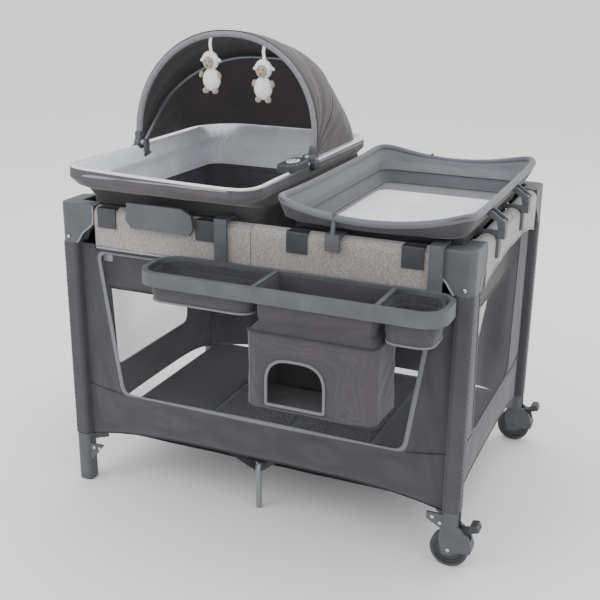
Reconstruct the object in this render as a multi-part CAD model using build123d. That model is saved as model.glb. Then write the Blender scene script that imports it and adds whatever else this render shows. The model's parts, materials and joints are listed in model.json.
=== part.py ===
"""Travel play yard with bassinet, changing table and organizer. Millimetres, +Z up, front towards -Y.

The origin is on the floor under the middle of the yard.
"""
import os
from math import atan2, cos, degrees, hypot, radians, sin

from build123d import *

os.makedirs("parts", exist_ok=True)

# --- yard: overall -----------------------------------------------------------------------------
post_x = 482.0                 # corner post centres
post_y = 340.0
rail_z = 705.0                 # top rail tube axis
casting_top = rail_z + 32.0    # top of the corner castings
hinge_rise = 13.0              # rail hinge line above the tube axis, so folded tubes lie side by side
hinge_z = rail_z + hinge_rise
hinge_inset = 50.0             # corner hinge to post centre

# --- tubes, pins and running clearances --------------------------------------------------------
post_r = 12.5
rail_r = 12.5
floor_r = 8.0
floor_eye_r = 9.5
floor_eye_w = 7.6
leg_r = 7.0
tube_wall = 1.2
pin_r = 4.0
pin_play = 0.05                # radial running clearance of every pin
side_play = 0.5                # sideways clearance between a moving part and its cheeks
press_gap = 0.1                # radial gap of a tube in its socket
cloth_gap = 0.4                # clearance between cloth and what is beside it

# --- corner castings ---------------------------------------------------------------------------
casting_r = 20.0               # from the post centre to the outer faces
arm_over = 24.0                # casting arm beyond its hinge pin
casting_foot = rail_z - 65.0   # lowest point of the corner shell
arm_mouth = rail_z - 15.0      # lower edge of the arm at its open end
roof = 9.0
rivet_r = 4.5
rivet_head = 1.5

# --- rail halves and centre latches ------------------------------------------------------------
eye_r = 8.0
neck_x = 14.0                  # hinge pin to the end of the tube
spigot_len = 26.0
latch_back = 62.0              # latch housing, towards its own rail
latch_front = 16.0             # latch housing, beyond the centre pin
latch_grip = 12.0              # tube length held in the housing
latch_wall = 4.5
latch_floor = -30.0            # underside of the latch housing, from the hinge line
button_len = 22.0
button_width = 16.0
button_out = 6.0
button_travel = 4.0

# --- feet, wheels and brakes -------------------------------------------------------------------
foot_w = 38.0
foot_top = 105.0
wheel_r = 44.0
wheel_w = 24.0
fork_play = 1.5
fork_plate = 3.5
axle_r = 4.0
fender_gap = 3.0
post_foot = 2 * wheel_r + fender_gap + 6.0   # lower end of a wheeled post
housing_top = post_foot + 41.0
pedal_reach = 66.0
pedal_w = 30.0
pedal_arm_w = 17.0
pedal_pivot = (27.0, wheel_r + 3.0)   # from the wheel centre, outwards and up

# --- folding floor frame -----------------------------------------------------------------------
floor_z = 122.0
hub_r = 25.0                   # hub pivots from the hub centre
hub_body_r = 42.0
hub_half = 9.0
bracket_w = 4.0
leg_offset = 12.0              # centre legs pass each other folded
leg_web = 1.8                  # hub wall between a leg slot and a floor tube slot
leg_slot_back = 8.5            # leg slot behind its pivot
leg_foot_y = 297.0
leg_bend = 20.0
leg_pin_r = 3.0

# --- yard fabric -------------------------------------------------------------------------------
wall_t = 3.0
wall_set = 2.5                 # wall faces inside the post centres
wall_y = post_y - wall_set
wall_x = post_x - wall_set
wall_bottom = 146.0
wall_top = casting_foot - 5.0
sleeve_w = 39.0
trim_t = 1.6
trim_out = rail_r + 2 * side_play + latch_wall + cloth_gap + trim_t   # from the rail centre line
trim_bottom = casting_foot - 4.0
trim_top = rail_z + 25.0
floor_sheet_z = 132.0
floor_sheet_t = 3.0
mattress_z = 137.0
mattress_t = 20.0
mattress_gap = 36.5            # mattress edge to the wall's inner face
insert_t = 5.0
insert_deep = 114.0            # depth of the full-size insert
insert_set = (30.0, 28.0)      # insert walls inside the post centres
saddle_w = 48.0
saddle_t = 4.0
saddle_x = (post_x - 112.0, 111.0)   # rail saddles from the yard centre

# --- bassinet ----------------------------------------------------------------------------------
bass_x = (19.0 - post_x, 20.0)
bass_y = (-post_y - 58.0, post_y)
bass_rim = rail_z + 110.0
bass_floor = rail_z - 65.0
bass_waist = trim_top + 18.0   # the tub flares out over the rails from here
bass_waist_in = (8.0, 12.0)    # waist inside the rim at the left and right
bass_waist_y = post_y - 31.0
bass_taper = 14.0              # from the waist down to the floor
bass_wall = 9.0
bass_tube_r = 6.0
bass_pad_t = 18.0
bracket_x = (bass_x[0] + 152.0, -136.0)
bracket_z = (rail_z - 7.0, rail_z + 52.0)
bracket_out = 15.0             # outer face of the bracket plates beyond the trim

# --- canopy ------------------------------------------------------------------------------------
canopy_y = -61.0               # hinge line of both hoops
canopy_z = bass_rim + 17.0
canopy_half = (bass_x[1] - bass_x[0]) / 2 + 1.0
hoop_r = 5.0
front_lean = 8.0               # degrees behind vertical
front_reach = 280.0
mid_lean = 50.0
mid_reach = 318.0
rear_lean = 91.0
rear_reach = bass_y[1] - canopy_y - 9.0
canopy_t = 2.5
hoop_play = 4.4                # between a hoop and the cloth over it
knuckle_r = 10.0
knuckle_w = 9.0

# --- music unit and toys -----------------------------------------------------------------------
music_at = (bass_x[1] - 12.0, -150.0)
music_size = (46.0, 104.0, 19.0)
music_panel = (14.0, 26.0)
music_well = 3.0
toy_from_mid = (-50.5, 95.5)   # toys from the middle of the bassinet
toy_w = 52.0
toy_body_h = 62.0
toy_head_h = 44.0
toy_depth = 30.0
ribbon = (8.0, 2.0, 34.0)
ribbon_sewn = 4.0              # ribbon length sewn into the head
ribbon_loop = (1.1, 2.5)       # radius and half width of the loop at the top of the ribbon

# --- changing table ----------------------------------------------------------------------------
chg_x = (46.0, post_x + 2.0)
chg_y = post_y + 25.0
chg_rim = rail_z + 85.0
chg_floor = rail_z + 1.0
chg_waist = trim_top + 18.0    # the tray flares out over the rails from here
chg_waist_x = (66.0, post_x - 29.0)
chg_waist_y = post_y - 31.0
chg_taper = 12.0
chg_wall = 10.0
chg_tube_r = 7.0
chg_pad_t = 9.0
flip_x = post_x + 30.0
flip_z = trim_top + 27.0
clip_y = (70.0, -182.0)
clip_w = 34.0
hook_x = (180.0, 212.0)
hook_t = 11.0                  # top of every rail hook above the trim

# --- organizer ---------------------------------------------------------------------------------
org_x = (-206.0, post_x - 1.0)
org_y = (-post_y - 176.0, -post_y - 36.0)
org_top = rail_z - 55.0
org_h = 32.0
org_band = 12.0
org_corner = 52.0
basket_deep = (64.0, 78.0)     # basket floors below the top of the band
basket_wall = 3.0
stack_x = (75.0, 344.0)
stack_low = org_top - 265.0
stack_mid = org_top - 90.0
stack_bulge = 12.0             # lower box beyond the upper one
stack_wall = 4.0
door_x = (112.0, 243.0)
door_z = (stack_low + 15.0, stack_low + 119.0)
org_hook_x = (-70.0, post_x - 61.0)
org_hook_w = 30.0


# --- helpers -----------------------------------------------------------------------------------
def block(x, y, z):
    """Box between two corners, given as pairs along each axis."""
    size = [hi - lo for lo, hi in (x, y, z)]
    mid = [(lo + hi) / 2 for lo, hi in (x, y, z)]
    return Pos(*mid) * Box(*size)


def rod(start, end, radius, bore=0.0):
    """Round bar between two points, hollow when a bore radius is given."""
    along = Vector(*end) - Vector(*start)
    plane = Plane(origin=start, z_dir=along)
    align = (Align.CENTER, Align.CENTER, Align.MIN)
    solid = plane * Cylinder(radius, along.length, align=align)
    if bore:
        solid -= plane * Cylinder(bore, along.length, align=align)
    return solid


def slab(points, y):
    """Flat plate with an X-Z outline, between two Y values."""
    outline = Plane.XZ * make_face(Polyline(*points, close=True))
    plate = extrude(outline, amount=-(y[1] - y[0]))
    return Pos(0, y[0], 0) * plate


def tub(low, high, z, wall, floor):
    """Tapered tub as four mitred walls, with a floor unless it is 0. low and high are (x0, x1, y0, y1)."""
    def ring(rect, inset):
        x0, x1, y0, y1 = rect
        return [(x0 + inset, y0 + inset), (x1 - inset, y0 + inset),
                (x1 - inset, y1 - inset), (x0 + inset, y1 - inset)]

    def strip(rect, i, height):
        outer, inner = ring(rect, 0), ring(rect, wall)
        j = (i + 1) % 4
        corners = [outer[i], outer[j], inner[j], inner[i]]
        return make_face(Polyline(*[(px, py, height) for px, py in corners], close=True))

    walls = [loft([strip(low, i, z[0]), strip(high, i, z[1])], ruled=True) for i in range(4)]
    x0, x1, y0, y1 = shrink(low, wall)
    base = [block((x0, x1), (y0, y1), (z[0], z[0] + floor))] if floor else []
    return walls + base


def shrink(rect, by):
    return (rect[0] + by, rect[1] - by, rect[2] + by, rect[3] - by)


def to_corner(shape, side_x, side_y):
    """Takes a shape made at the rear right corner to the corner with the given signs."""
    if side_x < 0:
        shape = mirror(shape, Plane.YZ)
    if side_y < 0:
        shape = mirror(shape, Plane.XZ)
    return shape


def save(node, *shapes):
    solids = [solid for shape in shapes for solid in shape.solids()]
    export_step(Compound(solids), f"parts/{node}.step")


corners = {"fl": (-1, -1), "fr": (1, -1), "rl": (-1, 1), "rr": (1, 1)}
wheeled = ("fr", "rr")

# hinge geometry that the folding frame shares
half_x = post_x - hinge_inset
half_y = post_y - hinge_inset
floor_len = hypot(half_x, half_y)
floor_dir = (half_x / floor_len, half_y / floor_len)
bracket_dx = hinge_inset - hub_r * floor_dir[0]
bracket_dy = hinge_inset - hub_r * floor_dir[1]
leg_slot_x = leg_offset + leg_r + side_play
leg_slot_y = (floor_r + side_play + leg_web + leg_slot_x * floor_dir[1]) / floor_dir[0]
leg_pivot_y = round(leg_slot_y + leg_slot_back, 1)


# --- corner posts and castings -----------------------------------------------------------------
def post(foot_z):
    return rod((post_x, post_y, foot_z), (post_x, post_y, casting_top - roof), post_r,
               post_r - tube_wall)


def casting():
    """Corner shell at the rear right: two slotted arms, a post socket and two hinge pins."""
    tip = -(hinge_inset + arm_over)
    outline = [(casting_r, casting_top), (tip, casting_top), (tip, arm_mouth),
               (-hinge_inset + 10, arm_mouth - 22), (-26, casting_foot), (casting_r, casting_foot)]
    arm_x = slab(outline, (-casting_r, casting_r))
    arm_y = mirror(Rot(0, 0, 90) * arm_x, Plane.YZ)
    shell = arm_x + arm_y
    edge = shell.edges().filter_by(Axis.Z).sort_by(lambda e: e.center().X + e.center().Y)[-1]
    shell = fillet(edge, 16)
    top = shell.faces().sort_by(Axis.Z)[-1]
    shell = fillet(top.edges(), 4)
    pocket_w = rail_r + 2 * side_play
    pocket = block((tip - 5, -hinge_inset + eye_r + 22), (-pocket_w, pocket_w),
                   (casting_foot - 5, casting_top - roof))
    pocket_y = mirror(Rot(0, 0, 90) * pocket, Plane.YZ)
    socket = rod((0, 0, casting_foot - 5), (0, 0, casting_top - roof), post_r + press_gap)
    shell = shell - pocket - pocket_y - socket
    pin_x = rod((-hinge_inset, -casting_r + 1, hinge_z), (-hinge_inset, casting_r - 1, hinge_z), pin_r)
    pin_y = mirror(Rot(0, 0, 90) * pin_x, Plane.YZ)
    shell = shell + pin_x + pin_y
    return Pos(post_x, post_y, 0) * shell


def casting_rivet():
    height = casting_foot + 14
    head = rod((0, casting_r, height), (0, casting_r + rivet_head, height), rivet_r)
    return Pos(post_x, post_y, 0) * head


for name, (side_x, side_y) in corners.items():
    foot_z = post_foot if name in wheeled else 8.0
    save(f"post_{name}", to_corner(post(foot_z), side_x, side_y))
    save(f"corner_casting_{name}", to_corner(casting(), side_x, side_y),
         to_corner(casting_rivet(), side_x, side_y))


# --- rail halves -------------------------------------------------------------------------------
def rail_end():
    """Eye, neck and spigot of a rail end at the hinge pin, with the rail running along +X."""
    eye = rod((0, -rail_r, 0), (0, rail_r, 0), eye_r)
    neck = block((0, neck_x), (-rail_r, rail_r), (-hinge_rise - rail_r, eye_r - 2))
    spigot = rod((neck_x, 0, -hinge_rise), (neck_x + spigot_len, 0, -hinge_rise),
                 rail_r - tube_wall - press_gap)
    fitting = eye + neck + spigot
    return fitting - rod((0, -rail_r - 1, 0), (0, rail_r + 1, 0), pin_r + pin_play)


def rail_tube(start, end):
    return rod((start, 0, -hinge_rise), (end, 0, -hinge_rise), rail_r, rail_r - tube_wall)


def latch_housing(length):
    """Centre latch on the A half: two cheeks, a cap, a floor with the button well, and the pin."""
    cheek_in = rail_r + 2 * side_play
    cheek_out = cheek_in + latch_wall
    back, front = length - latch_back, length + latch_front
    cap_front = length - 27
    cap_top = 8.0
    profile = [(back, latch_floor), (front - 8, latch_floor), (front, latch_floor + 8),
               (front, 4), (front - 8, 9), (length - 8, 9), (cap_front, cap_top), (back, cap_top)]
    housing = slab(profile, (-cheek_out, cheek_out))
    well = block((length - latch_back + latch_grip, front + 1), (-cheek_in, cheek_in),
                 (latch_floor - 1, 12 + cap_top))
    core = block((length - latch_back + latch_grip, length - 26), (-cheek_in - 1, cheek_in + 1),
                 (latch_floor, cap_top))
    housing = housing - well + core
    bore = rod((back - 1, 0, -hinge_rise), (back + latch_grip, 0, -hinge_rise), rail_r + press_gap)
    housing = housing - bore
    x_mid = length - 38
    well_x = button_len / 2 + side_play
    well_y = button_width / 2 + side_play
    housing = housing - block((x_mid - well_x + 2, x_mid + well_x - 2), (-well_y, well_y),
                              (latch_floor - 1, latch_floor + 20))
    pin = rod((length, -cheek_out, 0), (length, cheek_out, 0), pin_r)
    return housing + pin


def latch_button(length):
    """Sprung push button in the underside of the latch housing."""
    x_mid = length - 38
    body = block((x_mid - button_len / 2 + 2, x_mid + button_len / 2 - 2),
                 (-button_width / 2, button_width / 2),
                 (latch_floor - button_out, latch_floor + 20 - button_travel - 1))
    lower = body.faces().sort_by(Axis.Z)[0]
    return fillet(lower.edges(), 2)


def rail_pair(side, place, length, names):
    """Both halves of one top rail. place puts the A corner hinge, rail along +X, in the yard."""
    far = 2 * length
    a_half = [rail_end(), rail_tube(neck_x, length - latch_back + latch_grip), latch_housing(length)]
    eye_b = Pos(length, 0, 0) * rail_end()
    end_b = Pos(far, 0, 0) * mirror(rail_end(), Plane.YZ)
    b_half = [eye_b, rail_tube(length + neck_x, far - neck_x), end_b]
    save(f"rail_{side}_{names[0]}", *[place * piece for piece in a_half])
    save(f"rail_{side}_{names[1]}", *[place * piece for piece in b_half])
    save(f"latch_button_{side}", place * latch_button(length))


rail_pair("front", Location((-half_x, -post_y, hinge_z)), half_x, "lr")
rail_pair("rear", Location((-half_x, post_y, hinge_z)), half_x, "lr")
rail_pair("left", Location((-post_x, -half_y, hinge_z), (0, 0, 90)), half_y, "fr")
rail_pair("right", Location((post_x, -half_y, hinge_z), (0, 0, 90)), half_y, "fr")


def saddle(x_mid):
    """Moulded saddle over the front rail and its trim, where the accessories rest."""
    inner = trim_out + cloth_gap
    outer = inner + saddle_t
    top = trim_top + cloth_gap
    x = (x_mid - saddle_w / 2, x_mid + saddle_w / 2)
    shell = block(x, (-outer, outer), (rail_z - 18, top + saddle_t))
    shell = fillet(shell.edges().filter_by(Axis.X).sort_by(Axis.Z)[-2:], 3.5)
    return Pos(0, -post_y, 0) * (shell - block((x[0] - 1, x[1] + 1), (-inner, inner), (0, top)))


for half, sign in (("l", -1), ("r", 1)):
    save(f"rail_saddles_{half}", *[saddle(sign * x_mid) for x_mid in saddle_x])


# --- feet, wheels and brakes -------------------------------------------------------------------
def floor_bracket():
    """Clevis that carries a floor tube, reaching inwards from the post at the origin."""
    dx, dy = floor_dir
    angle = degrees(atan2(dy, dx))
    reach = hypot(bracket_dx, bracket_dy)
    turn = degrees(atan2(bracket_dy, bracket_dx))
    gap = floor_r + side_play
    outer = gap + bracket_w
    height = (floor_z - 14, floor_z + 10)
    along = Pos(-bracket_dx, -bracket_dy, 0) * Rot(0, 0, angle)
    cheek = along * block((-11, 18), (gap, outer), height)
    other = along * block((-11, 18), (-outer, -gap), height)
    web = along * block((11, 20), (-outer, outer), height)
    web = web + Rot(0, 0, turn) * block((-reach + 14, -14), (-9, 9), height)
    keep_out = along * block((-60, 10.5), (-gap, gap), (floor_z - 20, floor_z + 20))
    pin = along * rod((0, -outer, floor_z), (0, outer, floor_z), pin_r)
    return (cheek + other + web - keep_out) + pin


def square_sleeve(width, z):
    body = block((-width / 2, width / 2), (-width / 2, width / 2), z)
    return fillet(body.edges().filter_by(Axis.Z), 11)


def plain_foot():
    """Moulded foot without a wheel: sleeve, rounded sole, rivets and floor tube bracket."""
    body = square_sleeve(foot_w, (0, foot_top))
    body = fillet(body.faces().sort_by(Axis.Z)[0].edges(), 4)
    wing = slab([(-58, foot_top), (-foot_w / 2 + 3, foot_top), (-foot_w / 2 + 3, foot_top - 52)],
                (foot_w / 2 - 12, foot_w / 2 - 6))
    collar = square_sleeve(foot_w, (foot_top - 1, floor_z + 10))
    body = body + collar + wing + floor_bracket()
    socket = rod((0, 0, 8), (0, 0, floor_z + 20), post_r + press_gap)
    rivets = [rod((x, foot_w / 2 - 6, foot_top - 10), (x, foot_w / 2 - 6 + rivet_head, foot_top - 10),
                  rivet_r) for x in (-46, -30)]
    return [Pos(post_x, post_y, 0) * piece for piece in [body - socket] + rivets]


def wheel_housing():
    """Fork, post socket and fender for a fixed wheel, with its axle."""
    inner = wheel_w / 2 + fork_play
    outer = inner + fork_plate
    zc = wheel_r
    plate = [(-20, housing_top - 34), (-24, 66), (-13, zc - 12), (4, zc - 14), (24, zc - 2), (50, zc),
             (52, zc + 12), (42, zc + 42), (20, zc + 58), (20, housing_top - 34)]
    fork = slab(plate, (-outer, outer))
    wheel_room = rod((0, -inner, zc), (0, inner, zc), wheel_r + fender_gap)
    lower_room = block((-80, wheel_r + fender_gap), (-inner, inner), (zc - 60, zc))
    left_room = block((-80, 0), (-inner, inner), (zc - 60, zc + wheel_r + fender_gap))
    pedal_room = block((pedal_pivot[0] - 12, 90), (-pedal_arm_w / 2 - 1, pedal_arm_w / 2 + 1),
                       (zc + 28, 140))
    socket_body = square_sleeve(2 * outer + 4, (post_foot - 5, housing_top))
    wing = slab([(-54, housing_top - 8), (-14, housing_top - 8), (-14, housing_top - 46),
                 (-36, housing_top - 34), (-54, housing_top - 24)], (outer - 6, outer))
    body = fork - wheel_room - lower_room - left_room
    body = body + socket_body + wing + floor_bracket()
    body = body - pedal_room - wheel_room
    body = body - rod((0, 0, post_foot), (0, 0, housing_top + 1), post_r + press_gap)
    axle = rod((0, -outer - 0.5, zc), (0, outer + 0.5, zc), axle_r)
    px, pz = pedal_pivot
    pivot = rod((px, -outer, zc + pz), (px, outer, zc + pz), pin_r - 1)
    heads = [rod((x, outer, z), (x, outer + rivet_head, z), rivet_r)
             for x, z in ((0, zc), (-22, housing_top - 30), (-40, housing_top - 18))]
    heads.append(rod((0, -outer, zc), (0, -outer - rivet_head, zc), rivet_r))
    return [Pos(post_x, post_y, 0) * piece for piece in [body + axle + pivot] + heads]


def wheel():
    """Hub and tyre of one wheel, on the Y axis."""
    half = wheel_w / 2
    hub = rod((0, -half + 3, 0), (0, half - 3, 0), wheel_r - 9, axle_r + pin_play)
    boss = rod((0, -half, 0), (0, half, 0), 11, axle_r + pin_play)
    groove = rod((0, half - 5, 0), (0, half - 2, 0), wheel_r - 14, wheel_r - 20)
    hub = hub + boss - groove - mirror(groove, Plane.XZ)
    tyre = rod((0, -half, 0), (0, half, 0), wheel_r, wheel_r - 9)
    rims = tyre.edges().filter_by(GeomType.CIRCLE).filter_by(lambda e: e.radius > wheel_r - 1)
    return [Pos(post_x, post_y, wheel_r) * piece for piece in (hub, fillet(rims, 4))]


def brake_pedal():
    """Foot lever on the outer side of a wheel housing."""
    px, pz = pedal_pivot
    half = pedal_arm_w / 2
    boss = rod((px, -half, pz), (px, half, pz), 7)
    arm = slab([(px - 5, pz - 4), (px + 8, pz - 6), (px + 26, pz + 6), (px + 25, pz + 14),
                (px, pz + 7)], (-half, half))
    tread = slab([(px + 16, pz + 4), (pedal_reach, pz + 12), (pedal_reach - 6, pz + 26),
                  (px + 18, pz + 24)], (-pedal_w / 2, pedal_w / 2))
    lever = boss + arm + tread
    lever = lever - rod((px, -half - 1, pz), (px, half + 1, pz), pin_r - 1 + pin_play)
    return Pos(post_x, post_y, wheel_r) * lever


for name, (side_x, side_y) in corners.items():
    if name in wheeled:
        save(f"wheel_housing_{name}", *[to_corner(s, side_x, side_y) for s in wheel_housing()])
        save(f"wheel_{name}", *[to_corner(s, side_x, side_y) for s in wheel()])
        save(f"brake_pedal_{name}", to_corner(brake_pedal(), side_x, side_y))
    else:
        save(f"foot_{name}", *[to_corner(s, side_x, side_y) for s in plain_foot()])


# --- folding floor frame -----------------------------------------------------------------------
def floor_tube():
    """Floor tube from its corner bracket at the origin to the hub, along -X, with an eye each end."""
    length = hypot(post_x - bracket_dx, post_y - bracket_dy) - hub_r
    tube = rod((0, 0, 0), (-length, 0, 0), floor_r)
    for x in (0, -length):
        tube = tube + rod((x, -floor_eye_w, 0), (x, floor_eye_w, 0), floor_eye_r)
    for x in (0, -length):
        tube = tube - rod((x, -floor_r - 1, 0), (x, floor_r + 1, 0), pin_r + pin_play)
    return tube


for name, (side_x, side_y) in corners.items():
    start = (side_x * (post_x - bracket_dx), side_y * (post_y - bracket_dy), floor_z)
    angle = degrees(atan2(side_y * floor_dir[1], side_x * floor_dir[0]))
    save(f"floor_tube_{name}", Location(start, (0, 0, angle)) * floor_tube())


def hub():
    """Lift hub: round plate with four clevises and a webbing handle slot."""
    body = rod((0, 0, floor_z - hub_half), (0, 0, floor_z + hub_half), hub_body_r)
    gap = floor_r + side_play
    pins = []
    for side_x, side_y in corners.values():
        angle = degrees(atan2(side_y * floor_dir[1], side_x * floor_dir[0]))
        turn = Rot(0, 0, angle)
        body = body - turn * block((hub_r - 10, 60), (-gap, gap), (floor_z - 20, floor_z + 20))
        pins.append(turn * rod((hub_r, -gap, floor_z), (hub_r, gap, floor_z), pin_r))
    for sign in (-1, 1):
        x = sign * leg_offset
        room = leg_r + side_play
        pivot_y = sign * leg_pivot_y
        body = body - block((x - room, x + room), sorted((pivot_y - sign * leg_slot_back, sign * 60)),
                            (floor_z - 20, floor_z + 20))
    return body, pins


hub_body, hub_pins = hub()


def centre_leg():
    """Rear centre leg: round bar bent down to the floor, with an eye at the hub."""
    x, y = leg_offset, leg_pivot_y
    start = (x, y, floor_z)
    path = FilletPolyline(start, (x, leg_foot_y, floor_z), (x, leg_foot_y, 0), radius=leg_bend)
    bar = sweep(Plane(origin=start, z_dir=(0, 1, 0)) * Circle(leg_r), path=path)
    bar = bar + rod((x - leg_r, y, floor_z), (x + leg_r, y, floor_z), leg_r)
    return bar - rod((x - leg_r - 1, y, floor_z), (x + leg_r + 1, y, floor_z), leg_pin_r + pin_play)


leg_pin = rod((leg_offset - leg_r - 3, leg_pivot_y, floor_z),
              (leg_offset + leg_r + 3, leg_pivot_y, floor_z), leg_pin_r)
hub_pins += [leg_pin, Rot(0, 0, 180) * leg_pin]
save("lift_hub", hub_body, *hub_pins)
save("centre_leg_rear", centre_leg())
save("centre_leg_front", Rot(0, 0, 180) * centre_leg())


# --- yard fabric -------------------------------------------------------------------------------
def yard_walls():
    """Four wall panels, the floor sheet and a sleeve round each post."""
    half_sleeve = sleeve_w / 2
    side_z = (wall_bottom, wall_top)
    end_x = post_x - half_sleeve
    end_y = post_y - half_sleeve
    pieces = []
    for sign in (-1, 1):
        pieces.append(block((-end_x, end_x), sorted((sign * wall_y, sign * (wall_y - wall_t))), side_z))
        pieces.append(block(sorted((sign * wall_x, sign * (wall_x - wall_t))), (-end_y, end_y), side_z))
    for side_x, side_y in corners.values():
        sleeve = square_sleeve(sleeve_w, (housing_top + 1, casting_foot - 1))
        sleeve = sleeve - rod((0, 0, 0), (0, 0, casting_top), post_r + cloth_gap)
        pieces.append(Pos(side_x * post_x, side_y * post_y, 0) * sleeve)
    inner_x = wall_x - wall_t - 24
    inner_y = wall_y - wall_t - 24
    pieces.append(block((-inner_x, inner_x), (-inner_y, inner_y),
                        (floor_sheet_z, floor_sheet_z + floor_sheet_t)))
    return pieces


def trim(length):
    """Trim folded over one rail, along X: two flaps and the strip that joins them."""
    half = length / 2
    face = (trim_out - trim_t, trim_out)
    flaps = [block((-half, half), sorted((s * face[0], s * face[1])), (trim_bottom, trim_top))
             for s in (-1, 1)]
    return flaps + [block((-half, half), (-face[0], face[0]), (trim_top - trim_t, trim_top))]


trim_gap = 1.0
trim_x = 2 * (post_x - hinge_inset - arm_over - trim_gap)
trim_y = 2 * (post_y - hinge_inset - arm_over - trim_gap)
save("yard_walls", *yard_walls())
save("rail_trim",
     *[Pos(0, s * post_y, 0) * piece for s in (-1, 1) for piece in trim(trim_x)],
     *[Pos(s * post_x, 0, 0) * Rot(0, 0, 90) * piece for s in (-1, 1) for piece in trim(trim_y)])
mattress_x = wall_x - wall_t - mattress_gap
mattress_y = wall_y - wall_t - mattress_gap
pad = block((-mattress_x, mattress_x), (-mattress_y, mattress_y), (mattress_z, mattress_z + mattress_t))
save("mattress", fillet(pad.edges().filter_by(Axis.Z), 12))
insert_x = post_x - insert_set[0]
insert_y = post_y - insert_set[1]
insert_rect = (-insert_x, insert_x, -insert_y, insert_y)
insert_top = trim_bottom - 4
save("bassinet_insert", *tub(insert_rect, insert_rect, (insert_top - insert_deep, insert_top),
                             insert_t, insert_t))


# --- bassinet ----------------------------------------------------------------------------------
def ring_tube(x, y, z, corner, radius):
    """Closed round tube with rounded corners, lying flat."""
    path = RectangleRounded(x[1] - x[0], y[1] - y[0], corner).wire()
    mid = Location(((x[0] + x[1]) / 2, (y[0] + y[1]) / 2, z))
    path = mid * path
    start = path @ 0
    return sweep(Plane(origin=start, z_dir=path % 0) * Circle(radius), path=path)


bass_top = (bass_x[0], bass_x[1], bass_y[0], bass_y[1])
bass_mid = (bass_x[0] + bass_waist_in[0], bass_x[1] - bass_waist_in[1], -bass_waist_y, bass_waist_y)
bass_low = shrink(bass_mid, bass_taper)
shell_top = bass_rim - bass_tube_r - cloth_gap
save("bassinet_tub",
     *tub(bass_low, bass_mid, (bass_floor, bass_waist), bass_wall, bass_wall),
     *tub(bass_mid, bass_top, (bass_waist, shell_top), bass_wall, 0))
tube_in = bass_wall / 2
save("bassinet_frame",
     ring_tube((bass_x[0] + tube_in, bass_x[1] - tube_in), (bass_y[0] + tube_in, bass_y[1] - tube_in),
               bass_rim, 60, bass_tube_r))
pad_inset = bass_wall + 2
save("bassinet_pad",
     block((bass_low[0] + pad_inset, bass_low[1] - pad_inset),
           (bass_low[2] + pad_inset, bass_low[3] - pad_inset),
           (bass_floor + bass_wall + cloth_gap, bass_floor + bass_wall + bass_pad_t)))


def bassinet_bracket(sign):
    """Hook plate over the front (-1) or rear (1) rail that carries the bassinet."""
    reach_in = trim_out + 1.5
    reach_out = trim_out + bracket_out
    plate_t = 9.0
    outline = [(bracket_x[0] + 14, bracket_z[0]), (bracket_x[1] - 10, bracket_z[0]),
               (bracket_x[1], bracket_z[0] + 16), (bracket_x[1] - 4, bracket_z[1] - 14),
               (bracket_x[1] - 30, bracket_z[1]), (bracket_x[0] + 4, bracket_z[1]),
               (bracket_x[0], bracket_z[0] + 18)]
    plate = slab(outline, (reach_out - plate_t, reach_out))
    x = (bracket_x[0] + 14, bracket_x[1] - 40)
    cap = block(x, (-reach_in - 3, reach_out - plate_t + 1), (trim_top + 1, trim_top + hook_t))
    inner = block(x, (-reach_in - 3, -reach_in), (trim_top - 26, trim_top + hook_t))
    hook = plate + cap + inner
    hook = Pos(0, post_y, 0) * hook
    return hook if sign > 0 else mirror(hook, Plane.XZ)


# --- canopy ------------------------------------------------------------------------------------
canopy_x = (bass_x[0] + bass_x[1]) / 2


def lean_plane(lean):
    """Plane through the hoop hinge line, leaning back from vertical, with Y up the hoop."""
    angle = radians(lean)
    return Plane(origin=(canopy_x, canopy_y, canopy_z), x_dir=(1, 0, 0),
                 z_dir=(0, -cos(angle), sin(angle)))


def hoop(lean, half, reach, corner, boss_w):
    """Round rod bent to an arch over the bassinet, with a bored boss at each foot."""
    foot = knuckle_r - 2
    path = FilletPolyline((-half, foot), (-half, reach), (half, reach), (half, foot), radius=corner)
    start = Plane(origin=(-half, foot, 0), z_dir=(0, 1, 0))
    arch = lean_plane(lean) * sweep(start * Circle(hoop_r), path=path)
    for sign in (-1, 1):
        x = canopy_x + sign * half
        arch = arch + rod((x - boss_w / 2, canopy_y, canopy_z), (x + boss_w / 2, canopy_y, canopy_z),
                          knuckle_r, pin_r + pin_play)
    return arch


def arch_face(lean, half, reach, corner):
    """Section of the canopy cloth where it passes over a hoop."""
    def arch(inset):
        shape = Pos(0, reach / 2 - 30, 0) * Rectangle(2 * (half - inset), reach + 60 - 2 * inset)
        return fillet(shape.vertices().sort_by(Axis.Y)[-2:], corner - inset)
    band = arch(0) - Pos(0, -500, 0) * Rectangle(2000, 1000 + 2 * 12) - arch(canopy_t)
    return lean_plane(lean) * band


front_corner = canopy_half - 8
mid_half = canopy_half - 2 * hoop_r - 3
cloth_over = hoop_r + hoop_play + canopy_t


def canopy_pivots():
    """Post and pin on each side rim that both hoops turn on."""
    pieces = []
    for sign in (-1, 1):
        x = canopy_x + sign * (mid_half - hoop_r - side_play)
        far = canopy_x + sign * (canopy_half + knuckle_w / 2 + 2)
        stalk_w = 6.0
        stalk = block(sorted((x, x - sign * stalk_w)), (canopy_y - 9, canopy_y + 9),
                      (bass_rim - 16, canopy_z + 7))
        foot = block(sorted((x - sign * stalk_w, x - sign * (stalk_w - 2))),
                     (canopy_y - 16, canopy_y + 16), (bass_rim - 16, bass_rim - 6))
        pin = rod((x - sign * 2, canopy_y, canopy_z), (far, canopy_y, canopy_z), pin_r)
        cap = rod((far, canopy_y, canopy_z), (far + sign * 2, canopy_y, canopy_z), pin_r + 3)
        pieces.append(stalk + foot + pin + cap)
    return pieces


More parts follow.
